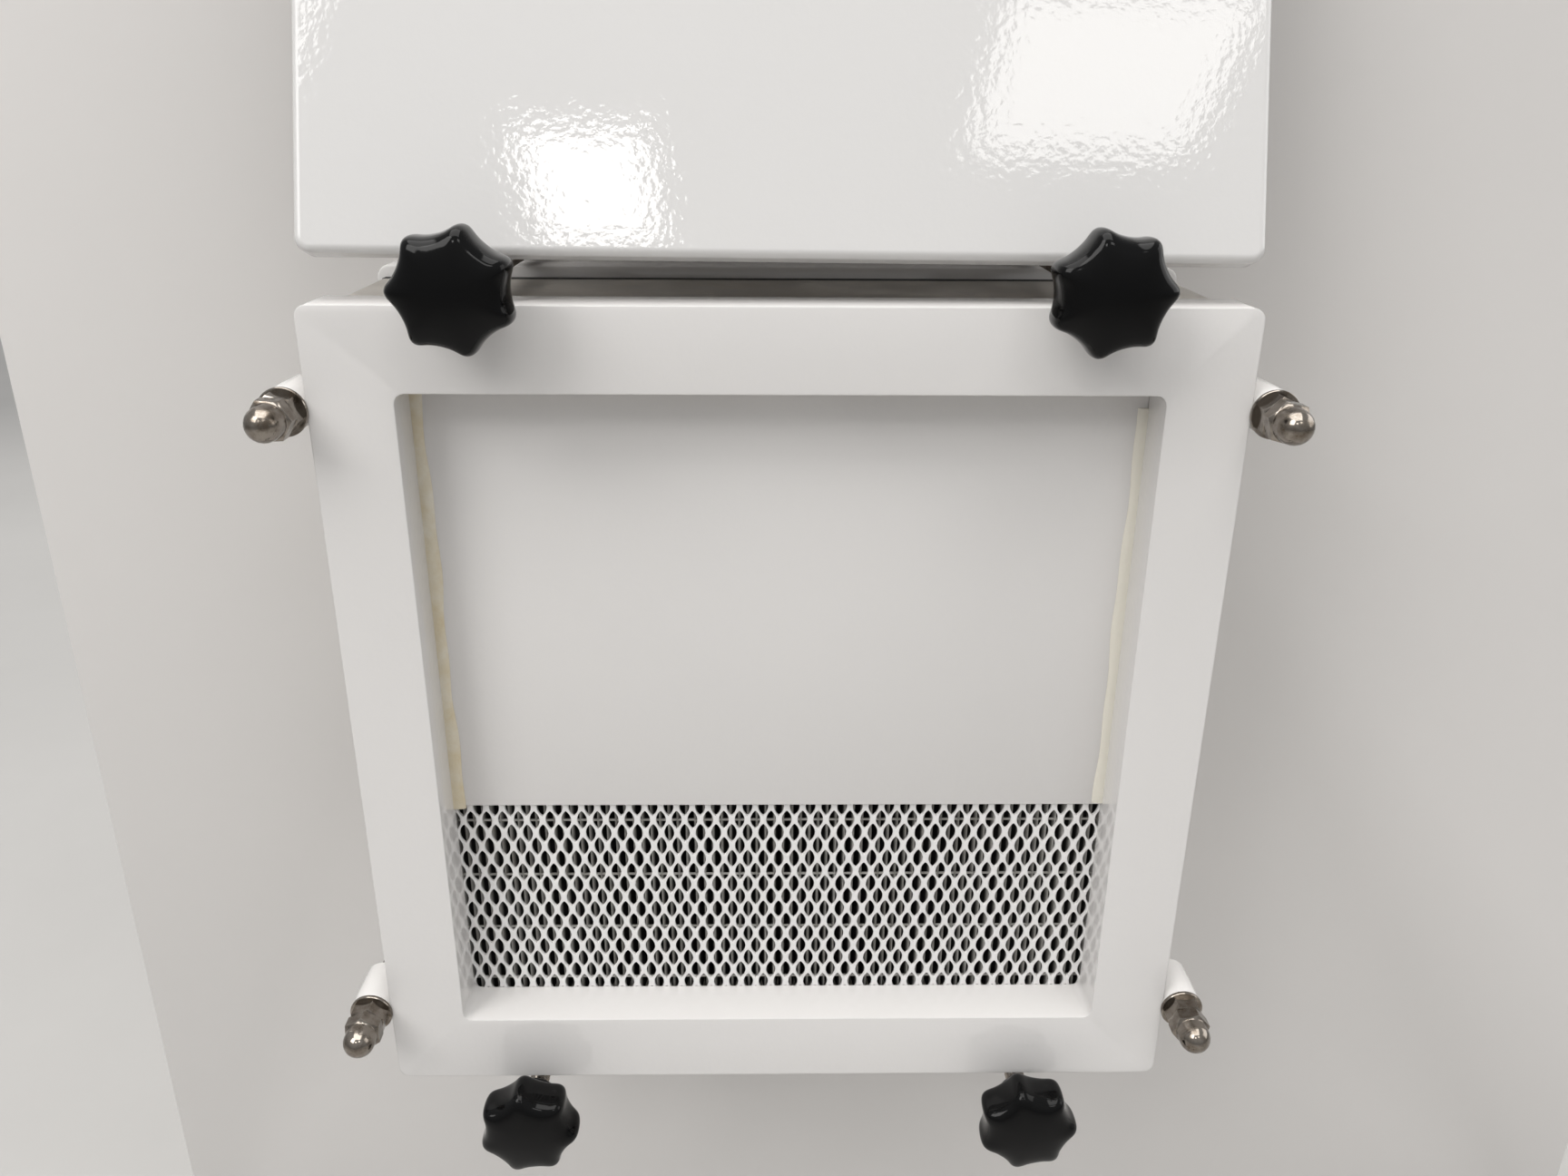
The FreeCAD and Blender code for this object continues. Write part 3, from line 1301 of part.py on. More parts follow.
def gauge():
    """The pressure gauge: case, dial, lens and a needle on its boss."""
    gauge_at = MIDDLE_X + " - gauge_x"

    def disc(name, radius, depth, proud):
        return rod(name, radius, depth, (gauge_at, "%s - %s" % (HEADER_Y, proud), "panel_z"), "Y")

    bezel = disc("gauge_front", "gauge_radius", "gauge_bezel", "gauge_bezel")
    can = disc("gauge_body", "gauge_can", "gauge_can_depth", "0")
    well = disc("gauge_hollow", "gauge_radius - gauge_rim", "gauge_well", "(gauge_bezel + 2 * cut_past)")
    node(cut("gauge", fused("gauge_whole", bezel, can), well), "pressure_gauge")
    dial_radius = "gauge_radius - gauge_rim - dial_play"
    node(disc("dial", dial_radius, "dial_gauge", "(gauge_rim - needle_boss_depth)"), "gauge_dial")
    node(disc("lens", "gauge_radius - gauge_rim", "lens_gauge", "(gauge_bezel - cut_past)"), "gauge_lens")
    boss = disc("needle_hub", "needle_boss", "needle_boss_depth", "(gauge_rim + needle_gauge)")
    hand = doc.addObject("Part::Box", "needle_hand")
    bind(hand, "Length", "needle_length")
    bind(hand, "Width", "needle_gauge")
    bind(hand, "Height", "needle_width")
    at_rest = FreeCAD.Rotation(vec(0, 1, 0), NEEDLE_REST)
    place(hand, gauge_at, HEADER_Y + " - gauge_rim", "panel_z", rotation=at_rest)
    node(fused("needle", boss, hand), "gauge_needle")


def mains_switch():
    """A rotary switch: a stem through the fascia with a disc and a grip bar; returns its collar."""
    switch_at = MIDDLE_X + " + switch_x"
    disc_front = HEADER_Y + " - switch_reach - switch_disc_depth"
    bar_front = disc_front + " - switch_bar_depth"
    stem = rod("switch_shaft", "switch_stem", "switch_stem_length",
               (switch_at, HEADER_Y + " - switch_reach", "panel_z"), "Y")
    disc = rod("switch_plate", "switch_disc", "switch_disc_depth", (switch_at, disc_front, "panel_z"), "Y")
    bar = block("switch_bar", (switch_at + " - switch_bar_half", switch_at + " + switch_bar_half"),
                (bar_front, disc_front),
                ("panel_z - switch_bar_length / 2", "panel_z + switch_bar_length / 2"))
    node(fused("switch", stem, disc, bar), "mains_switch")
    return ring("switch_ring", "switch_collar", "switch_bore", "switch_collar_depth",
                (switch_at, HEADER_Y + " - switch_collar_depth", "panel_z"), "Y")


def push_button(k, label):
    """A button in its flanged barrel; returns the barrel."""
    flange_y, bore_y = HEADER_Y + " - button_flange_depth", HEADER_Y + " - button_flange_depth - cut_past"
    flange = rod(label + "_flange", "button_flange", "button_flange_depth",
                 (control_x(k), flange_y, "panel_z"), "Y")
    barrel = rod(label + "_barrel", "button_barrel", "button_barrel_depth",
                 (control_x(k), HEADER_Y, "panel_z"), "Y")
    bore = rod(label + "_bore", "button_bore", "button_bore_depth", (control_x(k), bore_y, "panel_z"), "Y")
    node(rod(label + "_cap", "button_cap", "button_cap_depth",
             (control_x(k), HEADER_Y + " - button_proud", "panel_z"), "Y"), label)
    return cut(label + "_bezel", fused(label + "_whole", flange, barrel), bore)


def indicator_lamp(k):
    """A lamp body through the fascia, with a rim and a tapered lens."""
    front = (control_x(k), HEADER_Y + " - lamp_rim", "panel_z")
    barrel = rod("lamp_barrel_%d" % k, "lamp_radius", "lamp_barrel", front, "Y")
    rim = rod("lamp_rim_%d" % k, "lamp_radius + lamp_rim", "lamp_rim", front, "Y")
    cap = doc.addObject("Part::Cone", "lamp_cap_%d" % k)
    bind(cap, "Radius1", "lamp_radius")
    bind(cap, "Radius2", "lamp_radius - lamp_rim")
    bind(cap, "Height", "lamp_cap")
    place(cap, *front, rotation=FreeCAD.Rotation(vec(1, 0, 0), 90))
    return fused("lamp_%d" % k, barrel, rim, cap)


def controls():
    gauge()
    bezels = [mains_switch()] + [push_button(k, label) for k, label in enumerate(BUTTONS)]
    node(group("bezels", *bezels), "control_bezels")
    node(group("lamp_set", *[indicator_lamp(k) for k in LAMP_SPOTS]), "indicator_lamps")


def window_knobs():
    """Two captive knobs that draw the window's lower rail onto its seal."""
    slope = math.radians(dim("window_slope"))
    outwards = vec(0, -math.cos(slope), math.sin(slope))
    upwards = vec(0, math.sin(slope), math.cos(slope))
    axes = FreeCAD.Rotation(vec(1, 0, 0), upwards, outwards, "ZXY")
    up, out = KNOB_UP, "(window_gap + window_depth + 1)"
    y = "front_y + %s * sin(window_slope * 1 deg) - %s * cos(window_slope * 1 deg)" % (up, out)
    z = "apron_top + %s * cos(window_slope * 1 deg) + %s * sin(window_slope * 1 deg)" % (up, out)
    for side, x in WINDOW_KNOBS:
        star_knob("window_knob_" + side, x, y, z, axes)


def build():
    stand_frame()
    shell()
    header()
    work_tray()
    window()
    window_knobs()
    clamp_frame()
    expanded_guard()
    pleated_media()
    filter_stack()
    frame_fasteners()
    inlet_knobs()
    parked_cover()
    hatch()
    exhaust()
    controls()


def check_and_write():
    """Stop on any failed object, then write each sub-part to its own file."""
    doc.recompute()
    for thing in doc.Objects:
        if "Invalid" in thing.State or "Error" in thing.State:
            raise RuntimeError("%s did not compute: %s" % (thing.Name, thing.State))
    os.makedirs("parts", exist_ok=True)
    for thing in nodes:
        shape = thing.Shape
        if shape.isNull() or not shape.isValid() or shape.Volume <= 0:
            raise RuntimeError("%s has no valid solid" % thing.Label)
    for thing in nodes:
        thing.Shape.exportStep("parts/%s.step" % thing.Label)
    print(len(nodes), "sub-parts written")


build()
check_and_write()
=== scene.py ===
"""Looks of a closed-front safety cabinet with a HEPA inlet on its left side.

Everything is in metres in the cabinet's own frame: +X to the operator's right, +Y away from the
operator, +Z up, with the origin on the floor under the middle of the cabinet.
"""

import json
import math

import bmesh
import bpy
from mathutils import Matrix, Quaternion, Vector

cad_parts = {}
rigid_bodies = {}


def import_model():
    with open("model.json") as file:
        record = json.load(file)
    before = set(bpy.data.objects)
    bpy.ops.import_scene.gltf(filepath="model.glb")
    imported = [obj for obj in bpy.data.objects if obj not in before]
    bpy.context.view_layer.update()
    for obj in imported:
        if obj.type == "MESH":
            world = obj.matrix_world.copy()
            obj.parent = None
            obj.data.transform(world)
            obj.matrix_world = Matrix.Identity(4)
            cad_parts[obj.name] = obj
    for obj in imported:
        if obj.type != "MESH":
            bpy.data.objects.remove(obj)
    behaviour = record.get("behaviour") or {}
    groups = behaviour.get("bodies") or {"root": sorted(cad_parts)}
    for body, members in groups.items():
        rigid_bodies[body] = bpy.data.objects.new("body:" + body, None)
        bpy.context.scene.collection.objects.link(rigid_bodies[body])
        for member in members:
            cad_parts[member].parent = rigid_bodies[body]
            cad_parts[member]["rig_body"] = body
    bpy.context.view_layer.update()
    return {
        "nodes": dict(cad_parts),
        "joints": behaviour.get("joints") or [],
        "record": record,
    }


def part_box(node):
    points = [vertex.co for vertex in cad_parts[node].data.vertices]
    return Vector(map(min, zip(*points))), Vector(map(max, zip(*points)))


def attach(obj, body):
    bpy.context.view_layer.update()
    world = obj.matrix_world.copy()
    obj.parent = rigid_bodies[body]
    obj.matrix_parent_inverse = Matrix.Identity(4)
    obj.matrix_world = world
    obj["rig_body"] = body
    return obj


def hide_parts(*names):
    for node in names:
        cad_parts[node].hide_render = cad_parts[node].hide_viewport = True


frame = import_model()

joints = {joint["name"]: joint for joint in frame["joints"]}
SLOTS = {part["node"]: part["material_slot"] for part in frame["record"]["subparts"]}

# Places read from the frame
clamp_low, clamp_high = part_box("clamp_frame")
plate_low, plate_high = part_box("blanking_plate")
guard_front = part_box("filter_guard")[0].x
media_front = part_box("filter_media")[0].x
FILTER_Y = (clamp_low.y + clamp_high.y) / 2
FRAME_TOP = clamp_high.z
FRAME_FOOT = clamp_low.z
FACE_X = clamp_low.x

# Inlet sizes
FRAME_WIDTH = 0.310
FRAME_BORDER = 0.0285
OPENING = FRAME_WIDTH / 2 - FRAME_BORDER
BOSS_OFFSET = 0.1626
BOSS_DROPS = (0.0344, 0.2787)
BOSS_RADIUS = 0.008
WASHER_THICK = 0.0016
NUT_HALF = 0.0065
NUT_RIM = NUT_HALF * 0.95
NUT_HEIGHT = 0.0065
CAP_HEX = 0.0055
DOME_RADIUS = 0.006
STUD_RADIUS = 0.004
THREAD_PITCH = 0.00125
KNOB_GAP = 0.002
MEDIA_FOOT = FRAME_FOOT + FRAME_BORDER - 0.008
MEDIA_HEAD = plate_low.z + 0.012


# Work in edit mode

def to_object_mode():
    if bpy.context.object is not None and bpy.context.object.mode != "OBJECT":
        bpy.ops.object.mode_set(mode="OBJECT")


def nothing_selected():
    to_object_mode()
    bpy.ops.object.select_all(action="DESELECT")


def select_only(piece):
    """Leaves one piece selected and active."""
    nothing_selected()
    piece.select_set(True)
    bpy.context.view_layer.objects.active = piece


def opened(name):
    """Names the primitive that was just added and opens it with nothing selected."""
    piece = bpy.context.object
    piece.name = name
    piece.data.name = name
    bpy.ops.object.transform_apply(location=True, rotation=True, scale=True)
    bpy.ops.object.mode_set(mode="EDIT")
    bpy.ops.mesh.select_all(action="DESELECT")
    return piece


def pick(piece, chosen, domain="FACE"):
    """Selects only the faces, edges or corners for which chosen holds."""
    bpy.ops.mesh.select_mode(type=domain)
    bpy.ops.mesh.select_all(action="DESELECT")
    shape = bmesh.from_edit_mesh(piece.data)
    shape.normal_update()
    parts = {"FACE": shape.faces, "EDGE": shape.edges, "VERT": shape.verts}[domain]
    for part in parts:
        if chosen(part):
            part.select_set(True)
    shape.select_flush_mode()
    bmesh.update_edit_mesh(piece.data)


def middle(part):
    """The middle of an edge or a face."""
    return sum((corner.co for corner in part.verts), Vector()) / len(part.verts)


def along(edge, axis):
    """True for an edge that runs along one axis, 0, 1 or 2."""
    step = edge.verts[1].co - edge.verts[0].co
    return abs(step[axis]) > 0.999 * step.length


def modified(piece, kind, **settings):
    """Adds a modifier, sets it up and applies it."""
    select_only(piece)
    modifier = piece.modifiers.new(kind.title(), kind)
    for name, value in settings.items():
        setattr(modifier, name, value)
    bpy.ops.object.modifier_apply(modifier=modifier.name)


def repeated(piece, count, step, **settings):
    """Repeats a piece at a fixed step, as one mesh."""
    modified(piece, "ARRAY", count=count, use_relative_offset=False, use_constant_offset=True,
             constant_offset_displace=step, **settings)


def smoothed(piece, degrees):
    """Smooth shading that keeps the edges sharp where the surface turns by more than an angle."""
    select_only(piece)
    bpy.ops.object.shade_smooth_by_angle(angle=math.radians(degrees))


def block(name, low, high):
    """A cube stretched between two corners and opened."""
    nothing_selected()
    low, high = Vector(low), Vector(high)
    bpy.ops.mesh.primitive_cube_add(size=1, location=(low + high) / 2)
    bpy.context.object.scale = high - low
    return opened(name)


def grow(rise, factor):
    """Extrudes what is selected along Z and scales it about the axis."""
    bpy.ops.mesh.extrude_region_move(TRANSFORM_OT_translate={"value": (0, 0, rise)})
    bpy.ops.transform.resize(value=(factor, factor, 1), center_override=(0, 0, 0))


def turned(name, profile, segments, closed_loop=False, cap_start=False, cap_end=False):
    """A turned form about Z, raised ring by ring from (radius, height) pairs."""
    nothing_selected()
    radius, height = profile[0]
    fill = "NGON" if cap_start else "NOTHING"
    bpy.ops.mesh.primitive_circle_add(
        vertices=segments, radius=radius, fill_type=fill, location=(0, 0, height))
    piece = opened(name)
    bpy.ops.mesh.select_mode(type="EDGE")
    bpy.ops.mesh.select_all(action="SELECT")
    for next_radius, next_height in profile[1:]:
        if next_radius == 0:
            grow(next_height - height, 1)
            bpy.ops.mesh.merge(type="CENTER")
        else:
            grow(next_height - height, next_radius / radius)
        radius, height = next_radius, next_height
    if cap_end:
        bpy.ops.mesh.edge_face_add()
    bpy.ops.mesh.select_all(action="SELECT")
    if closed_loop:
        bpy.ops.mesh.remove_doubles(threshold=1e-6)
    bpy.ops.mesh.normals_make_consistent(inside=False)
    to_object_mode()
    return piece


def copied(piece, name, matrix):
    """A copy with its own mesh, moved by a matrix that goes into the mesh."""
    twin = bpy.data.objects.new(name, piece.data.copy())
    twin.data.name = name
    twin.data.transform(matrix)
    bpy.context.scene.collection.objects.link(twin)
    return twin


def joined(name, pieces):
    """Several pieces as one object."""
    whole = pieces[0]
    select_only(whole)
    for piece in pieces[1:]:
        piece.select_set(True)
    bpy.ops.object.join()
    whole.name = name
    whole.data.name = name
    return whole


def dropped(piece):
    bpy.data.objects.remove(piece, do_unlink=True)


def dressed(piece, body, slot, *nodes):
    """Gives a finished piece the finish that its slot names and its body, and hides the nodes that it
    stands for.
    """
    piece.data.materials.clear()
    piece.data.materials.append(finishes[slot])
    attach(piece, body)
    if nodes:
        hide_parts(*nodes)


def outwards(place, axis, across):
    """A matrix that puts local Z along axis and local X along across, at a place."""
    z = Vector(axis).normalized()
    x = Vector(across).normalized()
    turn = Matrix((x, z.cross(x), z)).transposed().to_4x4()
    return Matrix.Translation(Vector(place)) @ turn


# Shader nodes and the groups that more than one finish uses

def added(tree, kind, values=None, **settings):
    """A shader node with its settings, and numbers or links on its inputs."""
    made = tree.nodes.new("ShaderNode" + kind)
    for name, value in settings.items():
        setattr(made, name, value)
    for name, value in (values or {}).items():
        if isinstance(value, bpy.types.NodeSocket):
            tree.links.new(value, made.inputs[name])
        else:
            made.inputs[name].default_value = value
    return made


def maths(tree, operation, first, second):
    return added(tree, "Math", {0: first, 1: second}, operation=operation).outputs[0]


def spread(tree, value, low, high, to_low=0.0, to_high=1.0):
    """Maps a value from one range to another, clamped."""
    values = {"Value": value, "From Min": low, "From Max": high, "To Min": to_low, "To Max": to_high}
    return added(tree, "MapRange", values).outputs["Result"]


def mixed(tree, share, first, second, blend="MIX"):
    """Two colours mixed by a share."""
    node = added(tree, "Mix", data_type="RGBA", blend_type=blend)
    for index, value in ((0, share), (6, first), (7, second)):
        if isinstance(value, bpy.types.NodeSocket):
            tree.links.new(value, node.inputs[index])
        else:
            node.inputs[index].default_value = value
    return node.outputs[2]


def noise(tree, place, scale, detail=3.0, roughness=0.5):
    values = {"Vector": place, "Scale": scale, "Detail": detail, "Roughness": roughness}
    return added(tree, "TexNoise", values).outputs["Fac"]


def object_place(tree):
    """The place on a piece, in metres."""
    return added(tree, "TexCoord").outputs["Object"]


def coordinate(tree, vector, axis):
    return added(tree, "SeparateXYZ", {0: vector}).outputs[axis]


def bumped(tree, height, depth, base=None):
    """A normal raised by a height from 0 to 1 and a depth in metres, on a base normal if given."""
    node = added(tree, "Bump", {"Strength": 1.0, "Distance": depth, "Height": height})
    if base is not None:
        tree.links.new(base, node.inputs["Normal"])
    return node.outputs["Normal"]


def feed(tree, inputs, values):
    """Links values to the inputs of a shader, or of the end of a group."""
    for name, value in values.items():
        tree.links.new(value, inputs[name])


def new_group(name, inputs, outputs):
    """An empty node group with its sockets, and its two end nodes."""
    tree = bpy.data.node_groups.new(name, "ShaderNodeTree")
    for label, kind, default in inputs:
        socket = tree.interface.new_socket(name=label, in_out="INPUT", socket_type="NodeSocket" + kind)
        socket.default_value = default
    for label, kind in outputs:
        tree.interface.new_socket(name=label, in_out="OUTPUT", socket_type="NodeSocket" + kind)
    start = tree.nodes.new("NodeGroupInput")
    end = tree.nodes.new("NodeGroupOutput")
    return tree, start.outputs, end.inputs


def sprayed_skin():
    """Orange peel, slow changes of tone and small specks of sprayed paint."""
    tree, given, out = new_group(
        "sprayed_skin",
        [("Peel Size", "Float", 0.004), ("Peel Depth", "Float", 0.00004),
         ("Speck Amount", "Float", 0.5), ("Edge Radius", "Float", 0.0006)],
        [("Tone", "Float"), ("Speck", "Float"), ("Gloss Change", "Float"), ("Normal", "Vector")])
    place = object_place(tree)
    peel_scale = maths(tree, "DIVIDE", 1.0, given["Peel Size"])
    peel = noise(tree, place, peel_scale, 2.0, 0.45)
    softened = added(tree, "Bevel", {"Radius": given["Edge Radius"]}, samples=4).outputs["Normal"]
    broad = noise(tree, place, 2.6, 3.0)
    streaks = noise(tree, place, 14.0, 4.0, 0.6)
    tone = maths(tree, "ADD", spread(tree, broad, 0.2, 0.8, -0.02, 0.02),
                 spread(tree, streaks, 0.2, 0.8, -0.006, 0.006))
    cells = added(tree, "TexVoronoi", {"Vector": place, "Scale": 46.0, "Randomness": 1.0})
    near = spread(tree, cells.outputs["Distance"], 0.030, 0.016)
    chance = added(tree, "SeparateColor", {"Color": cells.outputs["Color"]}).outputs["Red"]
    rare = maths(tree, "LESS_THAN", chance, maths(tree, "MULTIPLY", given["Speck Amount"], 0.11))
    feed(tree, out, {
        "Tone": maths(tree, "ADD", tone, 1.0),
        "Speck": maths(tree, "MULTIPLY", near, rare),
        "Gloss Change": spread(tree, streaks, 0.2, 0.8, 0.94, 1.08),
        "Normal": bumped(tree, peel, given["Peel Depth"], softened)})
    return tree


def rubbed_edges():
    """A mask along the outer edges, broken up as wear is."""
    tree, given, out = new_group(
        "rubbed_edges", [("Width", "Float", 0.001), ("Amount", "Float", 0.5)], [("Mask", "Float")])
    round_normal = added(tree, "Bevel", {"Radius": given["Width"]}, samples=4).outputs["Normal"]
    flat_normal = added(tree, "NewGeometry").outputs["Normal"]
    facing = added(tree, "VectorMath", {0: round_normal, 1: flat_normal}, operation="DOT_PRODUCT")
    edge = spread(tree, facing.outputs["Value"], 0.985, 0.86)
    patches = spread(tree, noise(tree, object_place(tree), 90.0, 4.0, 0.65), 0.45, 0.62)
    worn = maths(tree, "MULTIPLY", edge, patches)
    feed(tree, out, {"Mask": maths(tree, "MULTIPLY", worn, given["Amount"])})
    return tree


def settled_dust():
    """A mask of dust on what faces up."""
    tree, given, out = new_group("settled_dust", [("Amount", "Float", 0.5)], [("Mask", "Float")])
    facing = coordinate(tree, added(tree, "NewGeometry").outputs["Normal"], "Z")
    upward = spread(tree, facing, 0.55, 0.98)
    patches = spread(tree, noise(tree, object_place(tree), 22.0, 5.0, 0.65), 0.3, 0.75)
    settled = maths(tree, "MULTIPLY", upward, patches)
    feed(tree, out, {"Mask": maths(tree, "MULTIPLY", settled, given["Amount"])})
    return tree


def drawn_grain():
    """Fine scratches drawn out along one direction, as on brushed or turned metal."""
    tree, given, out = new_group(
        "drawn_grain",
        [("Stretch", "Vector", (4.0, 900.0, 900.0)), ("Depth", "Float", 0.00001)],
        [("Value", "Float"), ("Normal", "Vector")])
    stretched = added(tree, "VectorMath", {0: object_place(tree), 1: given["Stretch"]},
                      operation="MULTIPLY")
    grain = noise(tree, stretched.outputs["Vector"], 1.0, 3.0, 0.6)
    feed(tree, out, {"Value": grain, "Normal": bumped(tree, grain, given["Depth"])})
    return tree


def moulded_skin():
    """The faint texture and sheen changes of moulded plastic and rubber."""
    tree, given, out = new_group(
        "moulded_skin", [("Grain Size", "Float", 0.0008), ("Grain Depth", "Float", 0.00002)],
        [("Smudge", "Float"), ("Normal", "Vector")])
    place = object_place(tree)
    grain = noise(tree, place, maths(tree, "DIVIDE", 1.0, given["Grain Size"]), 2.0, 0.5)
    feed(tree, out, {
        "Smudge": spread(tree, noise(tree, place, 34.0, 4.0, 0.6), 0.35, 0.7),
        "Normal": bumped(tree, grain, given["Grain Depth"])})
    return tree


groups = {made.name: made for made in (
    sprayed_skin(), rubbed_edges(), settled_dust(), drawn_grain(), moulded_skin())}


def grouped(tree, name, values=None):
    """A shared group placed in a material with its own values."""
    node = tree.nodes.new("ShaderNodeGroup")
    node.node_tree = groups[name]
    for label, value in (values or {}).items():
        node.inputs[label].default_value = value
    return node.outputs


# Finishes

SOCKETS = {"metallic": "Metallic", "transmission_weight": "Transmission Weight", "ior": "IOR",
           "specular": "Specular IOR Level"}


def new_finish(name, colour, roughness, **sockets):
    """A material with its plain values on the shader's own sockets."""
    material = bpy.data.materials.new(name)
    material.use_nodes = True
    tree = material.node_tree
    shader = tree.nodes["Principled BSDF"]
    shader.inputs["Base Color"].default_value = (*colour, 1.0)
    shader.inputs["Roughness"].default_value = roughness
    for label, value in sockets.items():
        shader.inputs[SOCKETS[label]].default_value = value
    return material, tree, shader


def tinted(tree, colour, tone):
    """A colour scaled by a tone that changes over the surface."""
    grey = added(tree, "CombineColor", {"Red": tone, "Green": tone, "Blue": tone}).outputs["Color"]
    return mixed(tree, 1.0, (*colour, 1.0), grey, "MULTIPLY")


def paint(name, colour, roughness, peel_size, peel_depth, specks=0.5, edge=0.0006, dust=0.35):
    """Sprayed or powder-coated steel."""
    speck_colour = (0.16, 0.14, 0.12, 1.0)
    dust_colour = (0.42, 0.39, 0.35, 1.0)
    dust_cover, dust_roughness = 0.6, 0.35
    material, tree, shader = new_finish(name, colour, roughness)
    skin = grouped(tree, "sprayed_skin", {
        "Peel Size": peel_size, "Peel Depth": peel_depth, "Speck Amount": specks, "Edge Radius": edge})
    dusty = grouped(tree, "settled_dust", {"Amount": dust})["Mask"]
    specked = mixed(tree, skin["Speck"], tinted(tree, colour, skin["Tone"]), speck_colour)
    gloss = maths(tree, "MULTIPLY", skin["Gloss Change"], roughness)
    feed(tree, shader.inputs, {
        "Base Color": mixed(tree, maths(tree, "MULTIPLY", dusty, dust_cover), specked, dust_colour),
        "Roughness": maths(tree, "ADD", gloss, maths(tree, "MULTIPLY", dusty, dust_roughness)),
        "Normal": skin["Normal"]})
    return material


def brushed_metal(name, colour, roughness, stretch, depth):
    """Steel or aluminium with a drawn grain."""
    dust_amount, dust_roughness = 0.3, 0.3
    dust_colour = (0.40, 0.38, 0.35, 1.0)
    material, tree, shader = new_finish(name, colour, roughness, metallic=1.0)
    grain = grouped(tree, "drawn_grain", {"Stretch": stretch, "Depth": depth})
    dusty = grouped(tree, "settled_dust", {"Amount": dust_amount})["Mask"]
    toned = tinted(tree, colour, spread(tree, grain["Value"], 0.3, 0.7, 0.9, 1.08))
    rough = spread(tree, grain["Value"], 0.3, 0.7, roughness - 0.06, roughness + 0.08)
    feed(tree, shader.inputs, {
        "Base Color": mixed(tree, dusty, toned, dust_colour),
        "Roughness": maths(tree, "ADD", rough, maths(tree, "MULTIPLY", dusty, dust_roughness)),
        "Normal": grain["Normal"]})
    return material


def dull_nickel():
    """Handled nickel plate with brown tarnish and brighter rubbed edges."""
    colour = (0.27, 0.242, 0.212)
    tarnish_colour = (0.13, 0.105, 0.082, 1.0)
    rubbed_colour = (0.50, 0.47, 0.43, 1.0)
    material, tree, shader = new_finish("dull_nickel", colour, 0.24, metallic=1.0)
    place = object_place(tree)
    tarnish = spread(tree, noise(tree, place, 210.0, 5.0, 0.68), 0.42, 0.66)
    rubbed = grouped(tree, "rubbed_edges", {"Width": 0.0007, "Amount": 0.8})["Mask"]
    dulled = mixed(tree, tarnish, (*colour, 1.0), tarnish_colour)
    feed(tree, shader.inputs, {
        "Base Color": mixed(tree, rubbed, dulled, rubbed_colour),
        "Roughness": spread(tree, tarnish, 0.0, 1.0, 0.1, 0.3),
        "Normal": bumped(tree, noise(tree, place, 1300.0, 3.0), 0.000006)})
    return material


def plastic(name, colour, roughness, grain_size, grain_depth, smudge=0.08, **sockets):
    """Moulded plastic or rubber."""
    material, tree, shader = new_finish(name, colour, roughness, **sockets)
    skin = grouped(tree, "moulded_skin", {"Grain Size": grain_size, "Grain Depth": grain_depth})
    feed(tree, shader.inputs, {
        "Base Color": tinted(tree, colour, spread(tree, skin["Smudge"], 0.0, 1.0, 0.9, 1.1)),
        "Roughness": spread(tree, skin["Smudge"], 0.0, 1.0, roughness, roughness + smudge),
        "Normal": skin["Normal"]})
    return material


def aged_foam():
    """Brown open-cell foam."""
    colour = (0.33, 0.235, 0.145)
    pore_colour = (0.15, 0.10, 0.06, 1.0)
    faded_colour = (0.46, 0.36, 0.24, 1.0)
    material, tree, shader = new_finish("aged_foam", colour, 0.95)
    place = object_place(tree)
    cells = added(tree, "TexVoronoi", {"Vector": place, "Scale": 900.0}).outputs["Distance"]
    pores = spread(tree, cells, 0.15, 0.6)
    faded = spread(tree, noise(tree, place, 60.0, 4.0), 0.4, 0.7)
    shade = mixed(tree, pores, pore_colour, (*colour, 1.0))
    feed(tree, shader.inputs, {
        "Base Color": mixed(tree, faded, shade, faded_colour),
        "Normal": bumped(tree, pores, 0.0004)})
    return material


def old_sealant():
    """Clear sealant that has gone cream, and yellow towards the cabinet's back."""
    cream, yellow, pale = (0.70, 0.67, 0.59, 1.0), (0.56, 0.47, 0.30, 1.0), (0.67, 0.64, 0.56, 1.0)
    material, tree, shader = new_finish("old_sealant", (0.70, 0.64, 0.48), 0.38)
    place = object_place(tree)
    stained = spread(tree, coordinate(tree, place, "Y"), FILTER_Y - 0.11, FILTER_Y + 0.11)
    patches = spread(tree, noise(tree, place, 75.0, 4.0, 0.6), 0.3, 0.72)
    feed(tree, shader.inputs, {
        "Base Color": mixed(tree, patches, mixed(tree, stained, cream, yellow), pale),
        "Normal": bumped(tree, noise(tree, place, 420.0, 3.0), 0.0002)})
    return material


def galvanised():
    """Zinc-coated sheet with a faint spangle."""
    colour = (0.60, 0.575, 0.535)
    dust_colour = (0.36, 0.33, 0.29, 1.0)
    material, tree, shader = new_finish("galvanised_sheet", colour, 0.45, metallic=0.75)
    cells = added(tree, "TexVoronoi", {"Vector": object_place(tree), "Scale": 110.0})
    grey = added(tree, "SeparateColor", {"Color": cells.outputs["Color"]}).outputs["Red"]
    dusty = grouped(tree, "settled_dust", {"Amount": 0.7})["Mask"]
    toned = tinted(tree, colour, spread(tree, grey, 0.0, 1.0, 0.86, 1.12))
    feed(tree, shader.inputs, {
        "Base Color": mixed(tree, dusty, toned, dust_colour),
        "Roughness": spread(tree, grey, 0.0, 1.0, 0.36, 0.52)})
    return material


